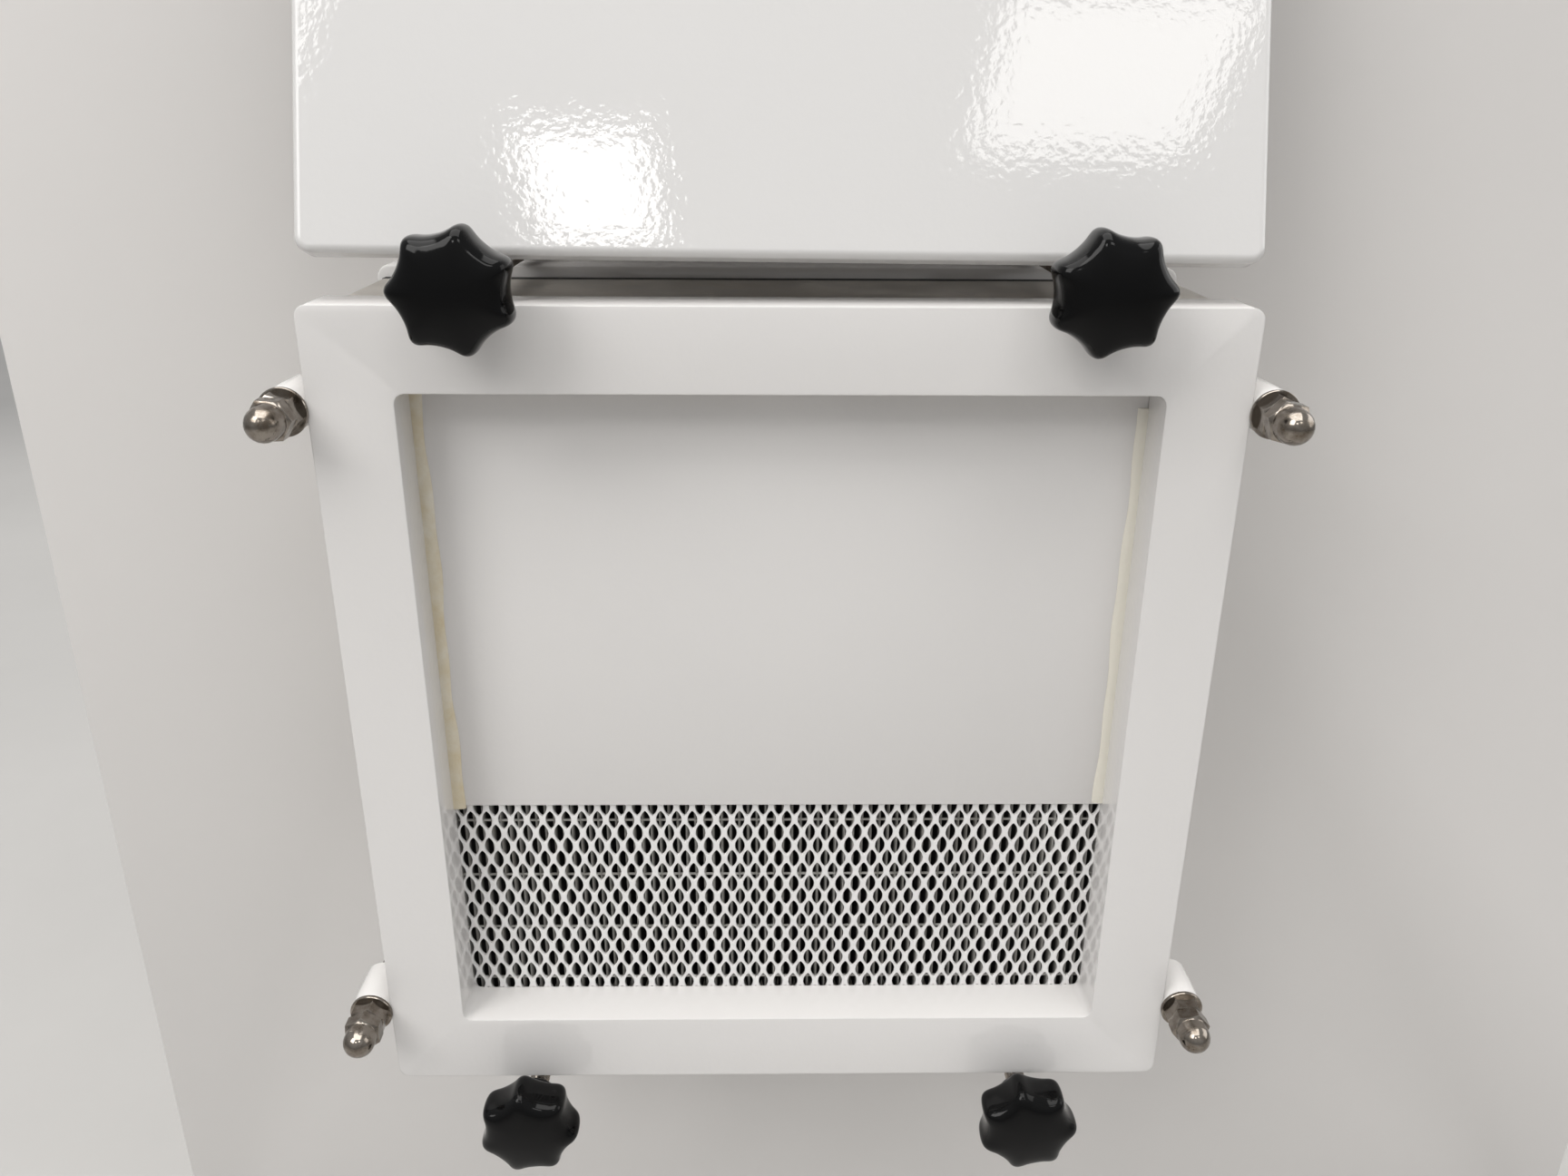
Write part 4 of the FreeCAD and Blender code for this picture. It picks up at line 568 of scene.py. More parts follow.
def filter_paper():
    """Glass-fibre paper, loaded grey by the air, with painted shade that darkens it deeper into its
    folds.
    """
    colour = (0.72, 0.71, 0.68)
    loaded_colour = (0.54, 0.52, 0.48, 1.0)
    # Painted shade: the near-black colour that the paper takes deep in its folds.
    fold_shade_colour = (0.035, 0.033, 0.03, 1.0)
    material, tree, shader = new_finish("filter_paper", colour, 0.95)
    place = object_place(tree)
    inward = coordinate(tree, place, "X")
    loaded = spread(tree, noise(tree, place, 40.0, 4.0, 0.6), 0.35, 0.7)
    paper = mixed(tree, loaded, (*colour, 1.0), loaded_colour)
    # Painted shade: the paper darkens to near black with its depth behind the pleat fronts, standing in
    # for shade in the folds.
    depth = spread(tree, inward, media_front + 0.0008, media_front + 0.0045)
    painted_fold_shade = maths(tree, "MULTIPLY", depth, maths(tree, "LESS_THAN", inward, media_front + 0.05))
    feed(tree, shader.inputs, {
        "Base Color": mixed(tree, painted_fold_shade, paper, fold_shade_colour),
        "Normal": bumped(tree, noise(tree, place, 1500.0, 3.0), 0.0001)})
    return material


def clear_glass():
    """Laminated glass with the faintest smears."""
    material, tree, shader = new_finish(
        "clear_glass", (0.93, 0.97, 0.955), 0.02, transmission_weight=1.0, ior=1.5)
    smears = noise(tree, object_place(tree), 9.0, 5.0, 0.7)
    feed(tree, shader.inputs, {"Roughness": spread(tree, smears, 0.5, 0.8, 0.012, 0.07)})
    return material


def levelling_metal():
    """Zinc-plated feet whose lowest part is a black rubber pad."""
    zinc_colour = (0.56, 0.56, 0.55)
    pad_colour = (0.02, 0.02, 0.02, 1.0)
    pad_top, blend = 0.005, 0.0002
    material, tree, shader = new_finish("levelling_metal", zinc_colour, 0.35)
    place = object_place(tree)
    steel = spread(tree, coordinate(tree, place, "Z"), pad_top - blend, pad_top + blend)
    patches = noise(tree, place, 120.0, 4.0)
    zinc = tinted(tree, zinc_colour, spread(tree, patches, 0.3, 0.7, 0.85, 1.1))
    feed(tree, shader.inputs, {
        "Base Color": mixed(tree, steel, pad_colour, zinc),
        "Metallic": steel,
        "Roughness": spread(tree, steel, 0.0, 1.0, 0.75, 0.34)})
    return material


finishes = {
    "white_paint": paint("white_panel_paint", (0.640, 0.622, 0.606), 0.30, 0.0035, 0.000012, specks=0.06,
                         dust=0.2),
    "inlet_paint": paint("inlet_gloss_paint", (0.675, 0.660, 0.647), 0.035, 0.0026, 0.00005,
                         specks=0.35, dust=0.1),
    "guard_paint": paint("guard_paint", (0.76, 0.75, 0.74), 0.42, 0.0015, 0.00003, specks=0.3,
                         edge=0.0002),
    "frame_paint": paint("window_frame_paint", (0.655, 0.642, 0.628), 0.10, 0.003, 0.00004,
                         specks=0.15),
    "stand_paint": paint("stand_paint", (0.58, 0.565, 0.545), 0.36, 0.002, 0.00004, specks=0.2),
    "stainless": brushed_metal("brushed_stainless", (0.60, 0.59, 0.575), 0.30,
                               (6.0, 1400.0, 1400.0), 0.000012),
    "bright_nickel": dull_nickel(),
    "knob_plastic": plastic("black_gloss_knob", (0.0022, 0.0022, 0.0023), 0.05, 0.0016, 0.000006,
                            smudge=0.04, specular=0.16),
    "port_plastic": plastic("port_plastic", (0.028, 0.028, 0.03), 0.42, 0.0012, 0.00003),
    "rubber": plastic("black_rubber", (0.016, 0.016, 0.016), 0.72, 0.0009, 0.00004),
    "foam": aged_foam(),
    "sealant": old_sealant(),
    "galvanised": galvanised(),
    "filter_paper": filter_paper(),
    "clear_glass": clear_glass(),
    "lamp_glass": plastic("opal_tube", (0.86, 0.86, 0.84), 0.22, 0.004, 0.000004),
    "foot_metal": levelling_metal(),
    "duct_metal": brushed_metal("spun_aluminium", (0.62, 0.62, 0.61), 0.36,
                                (600.0, 600.0, 40.0), 0.00001),
    "black_plastic": plastic("control_plastic", (0.022, 0.022, 0.023), 0.36, 0.001, 0.00003),
    "dial_face": plastic("dial_paint", (0.80, 0.80, 0.78), 0.5, 0.002, 0.000004),
    "needle_paint": plastic("needle_paint", (0.42, 0.03, 0.02), 0.45, 0.001, 0.00001),
    "button_green": plastic("green_button", (0.02, 0.26, 0.08), 0.25, 0.002, 0.00001),
    "button_white": plastic("white_button", (0.72, 0.72, 0.69), 0.25, 0.002, 0.00001),
    "lamp_lens": plastic("amber_lens", (0.75, 0.28, 0.02), 0.16, 0.003, 0.00001,
                         transmission_weight=0.35),
}


# Painted shade: the cover is the same white gloss paint as the inlet, made darker to hold back the light
# it catches.
cover_paint_darkened_for_shade = paint("cover_gloss_paint_painted_shade", (0.560, 0.552, 0.544), 0.03, 0.0026, 0.00005, specks=0.5,
                     dust=0.1)


def dress_cad_nodes():
    """Every node takes the finish that its record slot names, and the cover a darker copy of the gloss
    paint, as painted shade.
    """
    for name, node in frame["nodes"].items():
        for holder in node.material_slots:
            holder.material = cover_paint_darkened_for_shade if name == "cover_plate" else finishes[SLOTS[name]]


# The inlet's fine pieces

def guard_cell():
    """One strand ring of the expanded metal, between a rhombus and the lens-shaped hole inside it."""
    pitch, rise, sheet, crown = 0.0062, 0.0121, 0.0012, 0.00015
    hole_half_width, hole_half_height = 0.00198, 0.0042
    per_quarter = 4
    nothing_selected()
    bpy.ops.mesh.primitive_circle_add(vertices=4 * per_quarter, radius=1, fill_type="NOTHING")
    ring = opened("guard_cell")
    bpy.ops.mesh.select_all(action="SELECT")
    for rise_by in (crown, sheet, crown):
        bpy.ops.mesh.extrude_region_move(TRANSFORM_OT_translate={"value": (0, 0, rise_by)})
    shape = bmesh.from_edit_mesh(ring.data)
    for corner in shape.verts:
        steep = math.asin(min(1.0, abs(corner.co.y)))
        level = corner.co.z
        if crown / 2 < level < sheet + 1.5 * crown:
            across = hole_half_width * math.cos(steep) ** 1.6
            up = hole_half_height * math.sin(steep)
        else:
            share = steep / (math.pi / 2)
            across, up = pitch / 2 * (1 - share), rise / 2 * share
        corner.co = Vector((math.copysign(across, corner.co.x), math.copysign(up, corner.co.y), level))
    bmesh.update_edit_mesh(ring.data)
    to_object_mode()
    return ring, pitch, rise, sheet + 2 * crown


def guard_sheet():
    """The guard's cells in staggered rows."""
    behind_plate, behind_frame = 0.012, 0.004
    ring, pitch, rise, depth = guard_cell()
    high = plate_low.z + behind_plate
    low = FRAME_FOOT + FRAME_BORDER - behind_frame
    columns = int(2 * OPENING / pitch) + 2
    rows = int((high - low) / rise) + 2
    cells = []
    for stagger in range(2):
        cell = copied(ring, "cells_%d" % stagger,
                      Matrix.Translation((stagger * pitch / 2, stagger * rise / 2, 0)))
        repeated(cell, columns, (pitch, 0, 0))
        repeated(cell, rows, (0, rise, 0))
        cells.append(cell)
    dropped(ring)
    guard = joined("expanded_guard", cells)
    bpy.ops.object.mode_set(mode="EDIT")
    bpy.ops.mesh.select_all(action="SELECT")
    bpy.ops.mesh.remove_doubles(threshold=2e-5)
    pick(guard, lambda edge: edge.is_boundary, "EDGE")
    bpy.ops.mesh.bridge_edge_loops()
    bpy.ops.mesh.select_all(action="SELECT")
    bpy.ops.mesh.normals_make_consistent(inside=False)
    to_object_mode()
    corner = Vector((guard_front + depth, FILTER_Y + (columns - 1) * pitch / 2, low))
    guard.data.transform(outwards(corner, (-1, 0, 0), (0, -1, 0)))
    smoothed(guard, 50)
    dressed(guard, "cabinet", "guard_paint", "filter_guard")


def paper_pleats():
    """Upright pleats of paper across the opening."""
    pitch, fold, nose, thickness = 0.0035, 0.014, 0.0004, 0.0003
    count = int(2 * OPENING / pitch) + 2
    start = FILTER_Y + count * pitch / 2
    pleat = block("pleat", (media_front, start - pitch, MEDIA_FOOT),
                  (media_front + fold, start, MEDIA_HEAD))
    pick(pleat, lambda face: face.normal.x > -0.5)
    bpy.ops.mesh.delete(type="FACE")
    bpy.ops.mesh.select_all(action="SELECT")
    bpy.ops.mesh.subdivide(number_cuts=7)
    shape = bmesh.from_edit_mesh(pleat.data)
    for corner in shape.verts:
        share = abs((corner.co.y - (start - pitch / 2)) / (pitch / 2))
        corner.co.x = media_front + fold * max(0.0, share - nose / pitch) ** 0.75
    bmesh.update_edit_mesh(pleat.data)
    to_object_mode()
    repeated(pleat, count, (0, -pitch, 0), use_merge_vertices=True, merge_threshold=1e-5)
    modified(pleat, "SOLIDIFY", thickness=thickness, offset=0.0)
    smoothed(pleat, 60)
    pleat.name = "paper_pleats"
    dressed(pleat, "cabinet", "filter_paper", "filter_media")


def cross_beads():
    """The thin beads that keep the pleats apart."""
    spacing, radius, sides, depth, overlap = 0.0255, 0.0005, 10, 0.0016, 0.005
    rows = []
    level = MEDIA_FOOT + 0.010
    while level < MEDIA_HEAD:
        nothing_selected()
        bpy.ops.mesh.primitive_cylinder_add(
            vertices=sides, radius=radius, depth=2 * (OPENING + overlap),
            location=(media_front + depth, FILTER_Y, level), rotation=(math.pi / 2, 0, 0))
        bead = opened("cross_bead")
        pick(bead, lambda face: len(face.verts) == sides)
        bpy.ops.mesh.bevel(offset=radius / 3, segments=2)
        to_object_mode()
        rows.append(bead)
        level += spacing
    beads = joined("pleat_beads", rows)
    smoothed(beads, 50)
    dressed(beads, "cabinet", "filter_paper")


def painted_clamp_frame():
    """The welded clamp frame with its four bosses, edges eased under the paint."""
    inner_corner, outer_corner, eased = 0.0035, 0.004, 0.0022
    reach = FRAME_WIDTH / 2
    body = block("painted_clamp_frame", (clamp_low.x, FILTER_Y - reach, FRAME_FOOT),
                 (clamp_high.x, FILTER_Y + reach, FRAME_TOP))
    pick(body, lambda face: abs(face.normal.x) > 0.9)
    bpy.ops.mesh.inset(thickness=FRAME_BORDER, depth=0)
    bpy.ops.mesh.bridge_edge_loops()
    pick(body, lambda edge: along(edge, 0) and abs(middle(edge).y - FILTER_Y) < OPENING + 0.001, "EDGE")
    bpy.ops.mesh.bevel(offset=inner_corner, segments=4, affect="EDGES")
    pick(body, lambda edge: along(edge, 0) and abs(middle(edge).y - FILTER_Y) > OPENING + 0.01, "EDGE")
    bpy.ops.mesh.bevel(offset=outer_corner, segments=4, affect="EDGES")
    to_object_mode()
    for side in (-1, 1):
        for drop in BOSS_DROPS:
            weld_boss(body, Vector(((clamp_low.x + clamp_high.x) / 2, FILTER_Y + side * BOSS_OFFSET,
                                    FRAME_TOP - drop)))
    modified(body, "BEVEL", width=eased, segments=4, limit_method="ANGLE",
             angle_limit=math.radians(40), harden_normals=False)
    smoothed(body, 40)
    dressed(body, "cabinet", "inlet_paint", "clamp_frame")


def weld_boss(body, place):
    """Joins one round boss, as deep as the frame, to the frame's body."""
    nothing_selected()
    bpy.ops.mesh.primitive_cylinder_add(vertices=40, radius=BOSS_RADIUS, depth=clamp_high.x - clamp_low.x,
                                        location=place, rotation=(0, math.pi / 2, 0))
    boss = opened("boss")
    to_object_mode()
    modified(body, "BOOLEAN", operation="UNION", object=boss, solver="EXACT")
    dropped(boss)


def boss_spots():
    """The four bosses' axes at the frame's front face, with the turn that each nut was left at."""
    turns = iter((18, 47, 5, 31))
    for side in (1, -1):
        for drop in BOSS_DROPS:
            yield Vector((FACE_X, FILTER_Y + side * BOSS_OFFSET, FRAME_TOP - drop)), next(turns)


def hexed(piece, height, top_radius):
    """Moves a 24-sided prism's corners out to a hexagon whose corners are eased at the top."""
    slope = math.tan(math.radians(30))
    for corner in piece.data.vertices:
        turn = math.atan2(corner.co.y, corner.co.x)
        radius = math.hypot(corner.co.x, corner.co.y)
        if radius < NUT_HALF * 0.98:
            continue
        folded = (turn + math.pi / 6) % (math.pi / 3) - math.pi / 6
        reach = NUT_HALF / math.cos(folded)
        corner.co.x = reach * math.cos(turn)
        corner.co.y = reach * math.sin(turn)
        if corner.co.z > height / 2:
            corner.co.z = height - (reach - top_radius) * slope


def washer_model():
    """A stamped washer, its rim a little rounder below than above."""
    bore, rim, ease, roll = 0.0043, 0.0083, 0.0002, 0.0003
    return turned("washer", [
        (bore, ease), (bore + ease, 0), (rim - roll, 0), (rim, roll), (rim, WASHER_THICK - roll),
        (rim - ease, WASHER_THICK), (bore + ease, WASHER_THICK), (bore, WASHER_THICK - ease),
        (bore, ease)], 40, closed_loop=True)


def nut_model():
    """A hexagon nut with a countersunk bore."""
    sink = 0.0006
    nut = turned("nut", [
        (STUD_RADIUS, 0), (NUT_HALF, 0), (NUT_HALF, NUT_HEIGHT * 0.93), (NUT_RIM, NUT_HEIGHT),
        (STUD_RADIUS + 0.0007, NUT_HEIGHT), (STUD_RADIUS, NUT_HEIGHT - sink), (STUD_RADIUS, 0)],
        24, closed_loop=True)
    hexed(nut, NUT_HEIGHT, NUT_RIM)
    return nut


def cap_model():
    """A domed cap nut with a blind bore."""
    dome_base, bore_depth, arc_step = 0.0090, 0.008, 13.5
    bore = STUD_RADIUS * 1.03
    profile = [(bore, bore_depth), (bore, 0), (NUT_HALF, 0), (NUT_HALF, CAP_HEX * 0.93),
               (NUT_RIM, CAP_HEX), (DOME_RADIUS + 0.0001, CAP_HEX + 0.0001),
               (DOME_RADIUS, CAP_HEX + 0.0006), (DOME_RADIUS, dome_base)]
    for step in range(1, 7):
        lift = math.radians(arc_step * step)
        profile.append((DOME_RADIUS * math.cos(lift), dome_base + DOME_RADIUS * math.sin(lift)))
    profile.append((0, dome_base + DOME_RADIUS))
    cap = turned("cap", profile, 24, cap_start=True)
    hexed(cap, CAP_HEX, NUT_RIM)
    return cap


def on_each_boss(model, node, lift, twist):
    """One model on all four bosses, as one piece that stands for a node."""
    copies = []
    for count, (spot, turn) in enumerate(boss_spots()):
        place = outwards(spot - Vector((lift, 0, 0)), (-1, 0, 0), (0, -1, 0))
        spin = Matrix.Rotation(math.radians(turn + twist), 4, "Z")
        copies.append(copied(model, "%s_%d" % (node, count), place @ spin))
    whole = joined(node + "_fine", copies)
    smoothed(whole, 28)
    dressed(whole, "cabinet", "bright_nickel", node)
    dropped(model)


def nuts_and_caps():
    """Washers, hexagon nuts and domed cap nuts on the four studs."""
    cap_twist = 11
    on_each_boss(washer_model(), "frame_washers", 0.0, 0)
    on_each_boss(nut_model(), "frame_nuts", WASHER_THICK, 0)
    on_each_boss(cap_model(), "dome_nuts", WASHER_THICK + NUT_HEIGHT, cap_twist)


def threaded_rod(name, length):
    """A stud with a rolled thread: one pitch of V groove, repeated along Z."""
    groove, crest_start, crest_end = 0.00065, 0.4, 0.55
    root = STUD_RADIUS - groove
    count = int(length / THREAD_PITCH)
    rod = turned("tooth", [(root, 0), (STUD_RADIUS, THREAD_PITCH * crest_start),
                           (STUD_RADIUS, THREAD_PITCH * crest_end), (root, THREAD_PITCH)], 16)
    repeated(rod, count, (0, 0, THREAD_PITCH), use_merge_vertices=True, merge_threshold=1e-5)
    bpy.ops.object.mode_set(mode="EDIT")
    for end in (0, count * THREAD_PITCH):
        pick(rod, lambda edge: all(abs(c.co.z - end) < 1e-5 for c in edge.verts), "EDGE")
        bpy.ops.mesh.edge_face_add()
    bpy.ops.mesh.select_all(action="SELECT")
    bpy.ops.mesh.normals_make_consistent(inside=False)
    to_object_mode()
    rod.name = name
    return rod


def inlet_studs():
    """Threaded studs from the side panel through the bosses, and past the frame to the knobs."""
    for node in ("frame_studs", "knob_studs"):
        low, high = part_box(node)
        model = threaded_rod(node + "_model", high.x - low.x)
        copies = []
        for y in (low.y + STUD_RADIUS, high.y - STUD_RADIUS):
            for z in (low.z + STUD_RADIUS, high.z - STUD_RADIUS):
                place = outwards((high.x, y, z), (-1, 0, 0), (0, -1, 0))
                copies.append(copied(model, "%s_%d" % (node, len(copies)), place))
        whole = joined(node + "_threaded", copies)
        smoothed(whole, 20)
        dressed(whole, "cabinet", "bright_nickel", node)
        dropped(model)


def star_knob_model():
    """A seven-lobed knob along +Z with a tip at local +X, smoothed from a coarse cage."""
    lobes, per_lobe = 7, 8
    lobe_turn = 2 * math.pi / lobes
    cage_turns = (0.0, 5.4, 11.5, 18.5, 25.71)
    cage_reach = (1.006, 0.978, 0.902, 0.862, 0.850)
    hub_radius, fade, fade_power = 0.0095, 0.0090, 1.3
    profile = [(0.0041, 0.0012), (0.0044, 0.0), (0.0080, 0.0), (0.0087, 0.0006), (0.0092, 0.0048),
               (0.0120, 0.0070), (0.0172, 0.0084), (0.0194, 0.0102), (0.0200, 0.0150),
               (0.0199, 0.0196), (0.0191, 0.0224), (0.0168, 0.0243), (0.0120, 0.0256),
               (0.0060, 0.0263), (0.0020, 0.0265)]
    knob = turned("knob_cage", profile, lobes * per_lobe, cap_start=True, cap_end=True)
    for corner in knob.data.vertices:
        radius = math.hypot(corner.co.x, corner.co.y)
        turn = math.atan2(corner.co.y, corner.co.x)
        tip = round(turn / lobe_turn) * lobe_turn
        step = round((turn - tip) / (lobe_turn / per_lobe))
        turn = tip + math.copysign(math.radians(cage_turns[abs(step)]), step)
        share = min(1.0, max(0.0, (radius - hub_radius) / fade)) ** fade_power
        reach = radius * (1 + share * (cage_reach[abs(step)] - 1))
        corner.co.x = reach * math.cos(turn)
        corner.co.y = reach * math.sin(turn)
    modified(knob, "SUBSURF", levels=2, render_levels=2)
    smoothed(knob, 60)
    return knob


def star_knobs():
    """Four knobs on the inlet and two on the window, from one model."""
    model = star_knob_model()
    phases = {"star_knob_upper_rear": 25.3, "star_knob_upper_front": 2.5,
              "star_knob_lower_rear": -6.0, "star_knob_lower_front": 0.0,
              "window_knob_left": 12.0, "window_knob_right": -19.0}
    for name, phase in phases.items():
        joint = joints[name + "_turn"]
        axis = Vector(joint["axis"])
        across = Vector((0, -1, 0)) if name.startswith("star") else Vector((1, 0, 0))
        gap = KNOB_GAP if name.startswith("star") else 0.0
        place = outwards(Vector(joint["pos_m"]) + axis * gap, axis, across)
        turn = Matrix.Rotation(math.radians(phase), 4, "Z")
        knob = copied(model, name + "_moulded", place @ turn)
        dressed(knob, name, "knob_plastic", name)
    dropped(model)


def sealant_bead(name, start, end, width, depth, seed):
    """A hand-run bead along a corner, a little uneven in width."""
    ring_step, waviness = 0.004, 70
    start, end = Vector(start), Vector(end)
    length = (end - start).length
    nothing_selected()
    bpy.ops.mesh.primitive_cylinder_add(vertices=10, radius=1, depth=length, location=(0, 0, length / 2))
    bead = opened(name)
    pick(bead, lambda edge: along(edge, 2), "EDGE")
    bpy.ops.mesh.subdivide(number_cuts=int(length / ring_step))
    shape = bmesh.from_edit_mesh(bead.data)
    for corner in shape.verts:
        spot = corner.co.z * waviness + seed
        swell = 1 + 0.12 * math.sin(spot) + 0.08 * math.sin(2.7 * spot + 1)
        corner.co.x *= depth * swell
        corner.co.y *= width * swell
    bmesh.update_edit_mesh(bead.data)
    to_object_mode()
    bead.data.transform(outwards(start, end - start, (1, 0, 0)))
    return bead


def plate_sealant():
    """Sealant round three sides of the blanking plate."""
    x = plate_low.x - 0.0001
    foot, top = plate_low.z, plate_high.z - 0.0004
    rear, front = FILTER_Y + OPENING - 0.0002, FILTER_Y - OPENING + 0.0004
    whole = joined("sealant_beads", [
        sealant_bead("bead_rear", (x, rear, foot - 0.001), (x, rear, top), 0.0040, 0.0009, 0.4),
        sealant_bead("bead_front", (x, front, foot + 0.001), (x, front, top - 0.008),
                     0.0032, 0.0008, 2.1),
        sealant_bead("bead_top", (x, rear, top), (x, front + 0.010, top), 0.0009, 0.0008, 4.7),
    ])
    smoothed(whole, 60)
    dressed(whole, "cabinet", "sealant", "plate_sealant")


# Lights, floor and camera

ROOM_LOW = 0.25
ROOM_HIGH = 0.6


def area_lamp(name, place, size, power, colour, aim=None):
    """A rectangular lamp that faces down, or towards a point."""
    data = bpy.data.lights.new(name, "AREA")
    data.shape = "RECTANGLE"
    data.size, data.size_y = size
    data.energy = power
    data.color = colour
    lamp = bpy.data.objects.new(name, data)
    lamp.location = place
    if aim is not None:
        lamp.rotation_mode = "QUATERNION"
        lamp.rotation_quaternion = (Vector(aim) - Vector(place)).to_track_quat("-Z", "Y")
    bpy.context.scene.collection.objects.link(lamp)


def studio_floor():
    """A pale floor with a faint change of tone."""
    colour = (0.52, 0.508, 0.49)
    nothing_selected()
    bpy.ops.mesh.primitive_plane_add(size=16, location=(0, 0, 0))
    floor = opened("studio_floor")
    bpy.ops.mesh.select_all(action="SELECT")
    bpy.ops.mesh.subdivide(number_cuts=3)
    to_object_mode()
    material, tree, shader = new_finish("studio_floor", colour, 0.75)
    tone = spread(tree, noise(tree, object_place(tree), 1.3, 5.0, 0.6), 0.3, 0.7, 0.97, 1.03)
    feed(tree, shader.inputs, {"Base Color": tinted(tree, colour, tone)})
    floor.data.materials.append(material)


def bright_room():
    """A plain room, brighter above, with an even backdrop where the camera sees it."""
    world = bpy.data.worlds.new("studio_room")
    bpy.context.scene.world = world
    world.use_nodes = True
    tree = world.node_tree
    up = coordinate(tree, added(tree, "TexCoord").outputs["Generated"], "Z")
    room = tree.nodes["Background"]
    room.inputs["Color"].default_value = (0.985, 0.99, 1.0, 1.0)
    tree.links.new(spread(tree, up, -0.1, 0.45, ROOM_LOW, ROOM_HIGH), room.inputs["Strength"])
    seen = added(tree, "Background", {"Color": (0.86, 0.86, 0.85, 1.0), "Strength": 0.9})
    rays = added(tree, "LightPath").outputs
    shown = maths(tree, "MAXIMUM", rays["Is Camera Ray"], rays["Is Transmission Ray"])
    share = maths(tree, "MAXIMUM", shown, maths(tree, "MULTIPLY", rays["Is Glossy Ray"], 0.2))
    blend = added(tree, "MixShader", {0: share, 1: room.outputs[0], 2: seen.outputs[0]})
    tree.links.new(blend.outputs[0], tree.nodes["World Output"].inputs["Surface"])


def lamps():
    """The two ceiling panels that the cover reflects, and four soft lamps round the cabinet."""
    warm = (1.0, 0.988, 0.97)
    inlet = (FACE_X, FILTER_Y, FRAME_TOP - 0.1)
    cabinet = (0, 0, 1.1)
    area_lamp("ceiling_panel_rear", (-3.405, 0.60, 3.2), (0.57, 0.37), 6.0, warm)
    area_lamp("ceiling_panel_front", (-2.91, -0.78, 3.2), (0.62, 0.60), 6.0, warm)
    area_lamp("overhead_softbox", (-1.1, 0.3, 4.0), (3.0, 3.0), 101.0, warm)
    area_lamp("left_key", (-2.3, 1.75, 3.1), (1.4, 1.4), 36.0, warm, inlet)
    area_lamp("front_fill", (0.3, -4.4, 2.9), (5.2, 2.8), 80.0, warm, cabinet)
    area_lamp("right_back_fill", (3.6, 3.4, 2.8), (2.6, 2.2), 40.0, warm, cabinet)


def camera():
    """The photograph's view of the inlet, from the left and a little above."""
    lens, sensor = 28.05, 36.0
    pitch, yaw, roll = math.radians(21.74), math.radians(0.96), math.radians(0.38)
    stand_off, aside, above = 0.39367, 0.00555, 0.06073
    data = bpy.data.cameras.new("photo_view")
    data.lens = lens
    data.sensor_width = sensor
    data.clip_start = 0.02
    data.clip_end = 60
    view = bpy.data.objects.new("photo_view", data)
    look = Vector((math.cos(pitch) * math.cos(yaw), -math.cos(pitch) * math.sin(yaw), -math.sin(pitch)))
    view.rotation_mode = "QUATERNION"
    view.rotation_quaternion = look.to_track_quat("-Z", "Y") @ Quaternion((0, 0, 1), roll)
    view.location = (FACE_X - stand_off, FILTER_Y + aside, FRAME_TOP + above)
    bpy.context.scene.collection.objects.link(view)
    bpy.context.scene.camera = view


# Plain marks on the controls

MARK_DEPTH = 0.00012


def numeral(label, height, place):
    """A flat numeral that faces the operator, centred on a place."""
    nothing_selected()
    bpy.ops.object.text_add(location=(0, 0, 0))
    words = bpy.context.object
    words.data.body = label
    words.data.size = height
    words.data.align_x = "CENTER"
    words.data.align_y = "CENTER"
    words.data.extrude = MARK_DEPTH / 2
    bpy.ops.object.convert(target="MESH")
    piece = opened("numeral")
    bpy.ops.mesh.select_all(action="SELECT")
    bpy.ops.mesh.remove_doubles(threshold=1e-7)
    to_object_mode()
    piece.data.transform(Matrix.Translation(place) @ Matrix.Rotation(math.pi / 2, 4, "X"))
    return piece


def clockwise(turn):
    """The direction on the cabinet's front that is turned clockwise from straight up."""
    return Vector((math.sin(turn), 0, math.cos(turn)))


def tick(pivot, turn, inner, outer, width):
    """A short line that points away from a pivot, turned clockwise from straight up."""
    line = block("tick", (-width / 2, -MARK_DEPTH / 2, inner), (width / 2, MARK_DEPTH / 2, outer))
    pick(line, lambda edge: along(edge, 1), "EDGE")
    bpy.ops.mesh.bevel(offset=width / 4, segments=2, affect="EDGES")
    to_object_mode()
    line.data.transform(Matrix.Translation(pivot) @ Matrix.Rotation(turn, 4, "Y"))
    return line


def dial_marks():
    """The gauge's scale over the needle's sweep, with plain numerals."""
    steps, per_number, number_height, number_ring, outer = 20, 4, 0.0085, 0.70, 0.91
    joint = joints["needle_sweep"]
    dial_low, dial_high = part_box("gauge_dial")
    needle_low, needle_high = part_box("gauge_needle")
    pivot = Vector(joint["pos_m"])
    pivot.y = dial_low.y - MARK_DEPTH / 2
    reach = (dial_high.x - dial_low.x) / 2
    rest = (needle_low + needle_high) / 2 - pivot
    start = math.atan2(rest.x, rest.z)
    sweep = math.radians(joint["range_deg"][1])
    marks = []
    for step in range(steps + 1):
        turn = start + sweep * step / steps
        numbered = step % per_number == 0
        inner, width = (0.80, 0.0007) if numbered else (0.85, 0.0004)
        marks.append(tick(pivot, turn, inner * reach, outer * reach, width))
        if numbered:
            spot = pivot + number_ring * reach * clockwise(turn)
            marks.append(numeral(str(step // per_number), number_height, spot))
    dressed(joined("dial_scale", marks), "cabinet", "black_plastic")


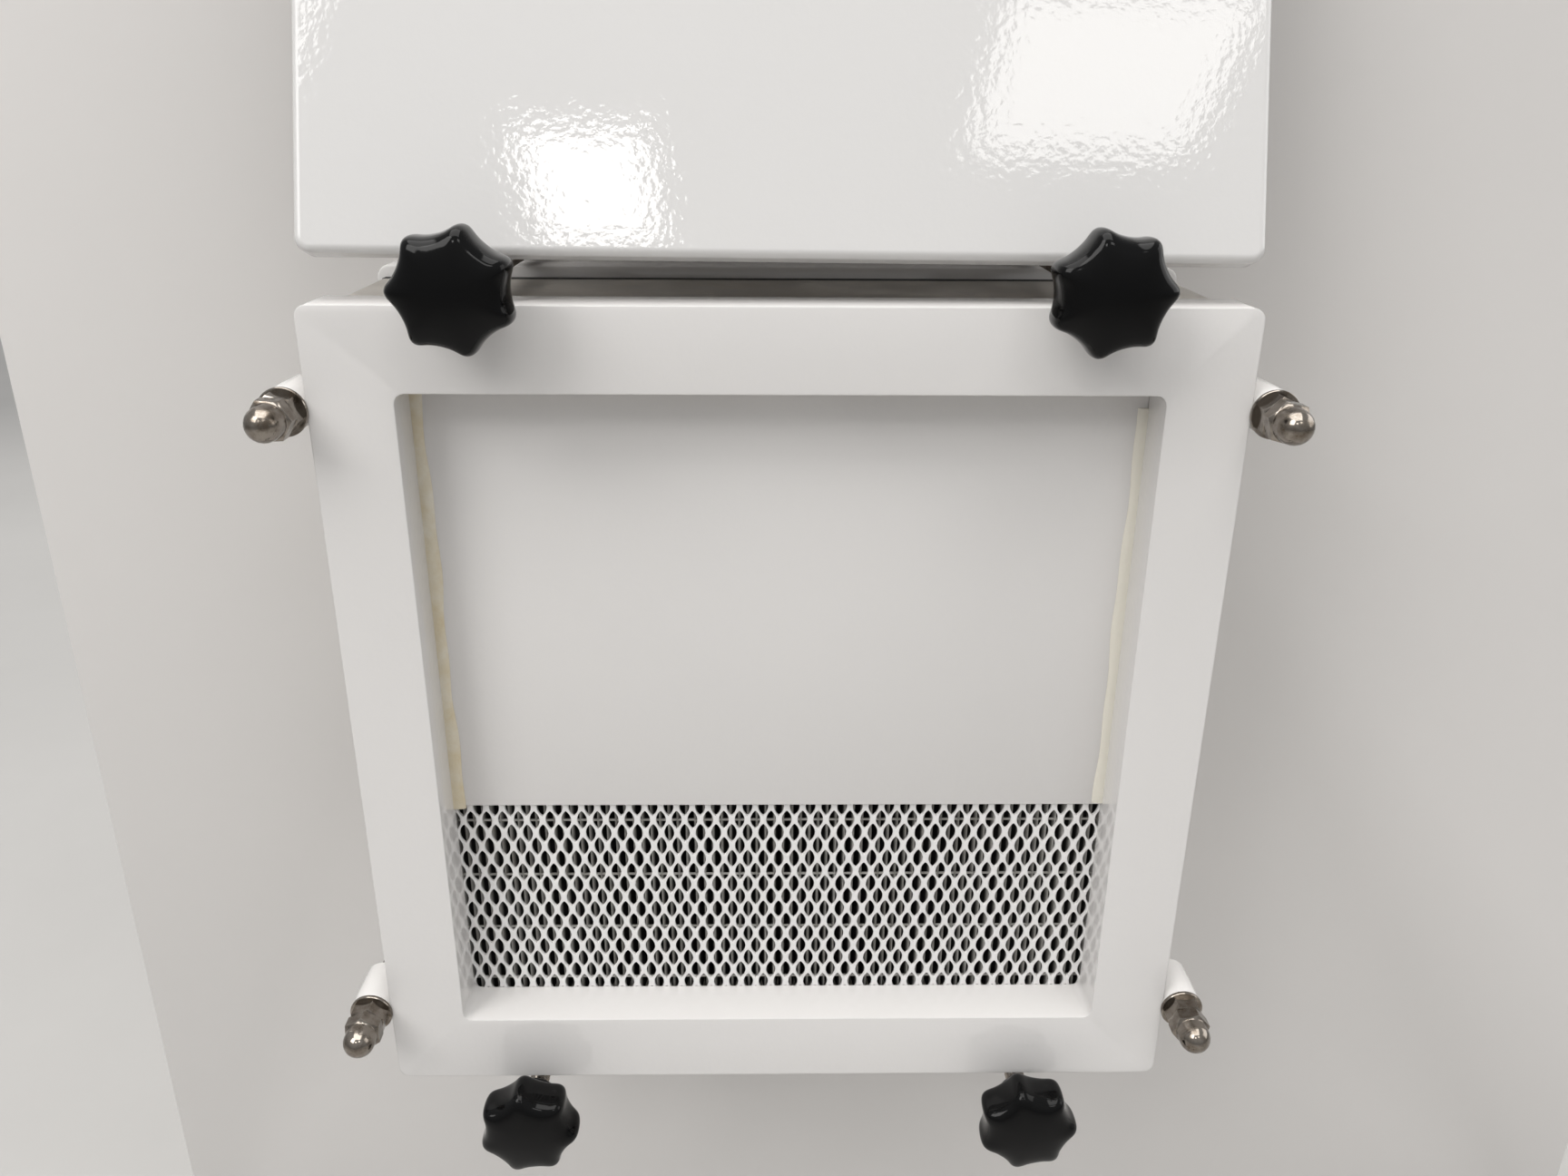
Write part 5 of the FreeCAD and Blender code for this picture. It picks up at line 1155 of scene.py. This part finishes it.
def switch_marks():
    """The two ends of the switch's turn, and the pointer line on its bar."""
    height, ring_radius = 0.0048, 0.0232
    inner, outer, width = 0.006, 0.0165, 0.0014
    joint = joints["mains_switch_turn"]
    ring = Vector(joint["pos_m"])
    ring.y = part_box("control_bezels")[0].y - MARK_DEPTH / 2
    ends = zip("01", (0, math.radians(joint["range_deg"][1])))
    marks = [numeral(label, height, ring + ring_radius * clockwise(turn)) for label, turn in ends]
    dressed(joined("switch_ends", marks), "cabinet", "dial_face")
    bar = Vector(joint["pos_m"])
    bar.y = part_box("mains_switch")[0].y - MARK_DEPTH / 2
    pointer = tick(bar, 0, inner, outer, width)
    pointer.name = "switch_pointer"
    dressed(pointer, "switch", "dial_face")


# The eased edges of the sheet metal, castings and mouldings

EASED = {
    "left_side_panel": 0.0008, "right_side_panel": 0.0008, "rear_panel": 0.0008, "roof_panel": 0.0012,
    "front_apron": 0.0010, "header_fascia": 0.0012, "front_surround": 0.0010, "base_pan": 0.0008,
    "exhaust_housing": 0.0015, "inlet_neck": 0.0012, "filter_casing": 0.0008, "blanking_plate": 0.0004,
    "window_frame": 0.0020, "window_hinge_rail": 0.0008, "hatch_frame": 0.0015, "hatch_door": 0.0015,
    "stand_frame": 0.0022, "work_tray": 0.0006, "window_hinge_leaves": 0.0005, "glazing_bead": 0.0008,
    "hatch_handle": 0.0016, "port_rings": 0.0012, "levelling_feet": 0.0006, "exhaust_spigot": 0.0006,
    "pressure_gauge": 0.0008, "mains_switch": 0.0010, "control_bezels": 0.0008, "fan_button": 0.0012,
    "lamp_button": 0.0012,
}


def eased_edges():
    """Copies of CAD pieces with their sharp edges rounded as folded, cast or moulded edges are."""
    for name, width in EASED.items():
        node = frame["nodes"][name]
        piece = copied(node, name + "_eased", Matrix())
        select_only(piece)
        bpy.ops.object.mode_set(mode="EDIT")
        bpy.ops.mesh.select_all(action="SELECT")
        bpy.ops.mesh.remove_doubles(threshold=1e-6)
        bpy.ops.mesh.dissolve_limited(angle_limit=math.radians(0.5))
        bpy.ops.mesh.customdata_custom_splitnormals_clear()
        to_object_mode()
        modified(piece, "BEVEL", width=width, segments=2, limit_method="ANGLE",
                 angle_limit=math.radians(40), use_clamp_overlap=True)
        smoothed(piece, 40)
        dressed(piece, node["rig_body"], SLOTS[name], name)


def build():
    dress_cad_nodes()
    eased_edges()
    guard_sheet()
    paper_pleats()
    cross_beads()
    painted_clamp_frame()
    nuts_and_caps()
    inlet_studs()
    star_knobs()
    plate_sealant()
    dial_marks()
    switch_marks()
    studio_floor()
    bright_room()
    lamps()
    camera()


build()
nothing_selected()
bpy.context.scene.view_settings.view_transform = "Standard"
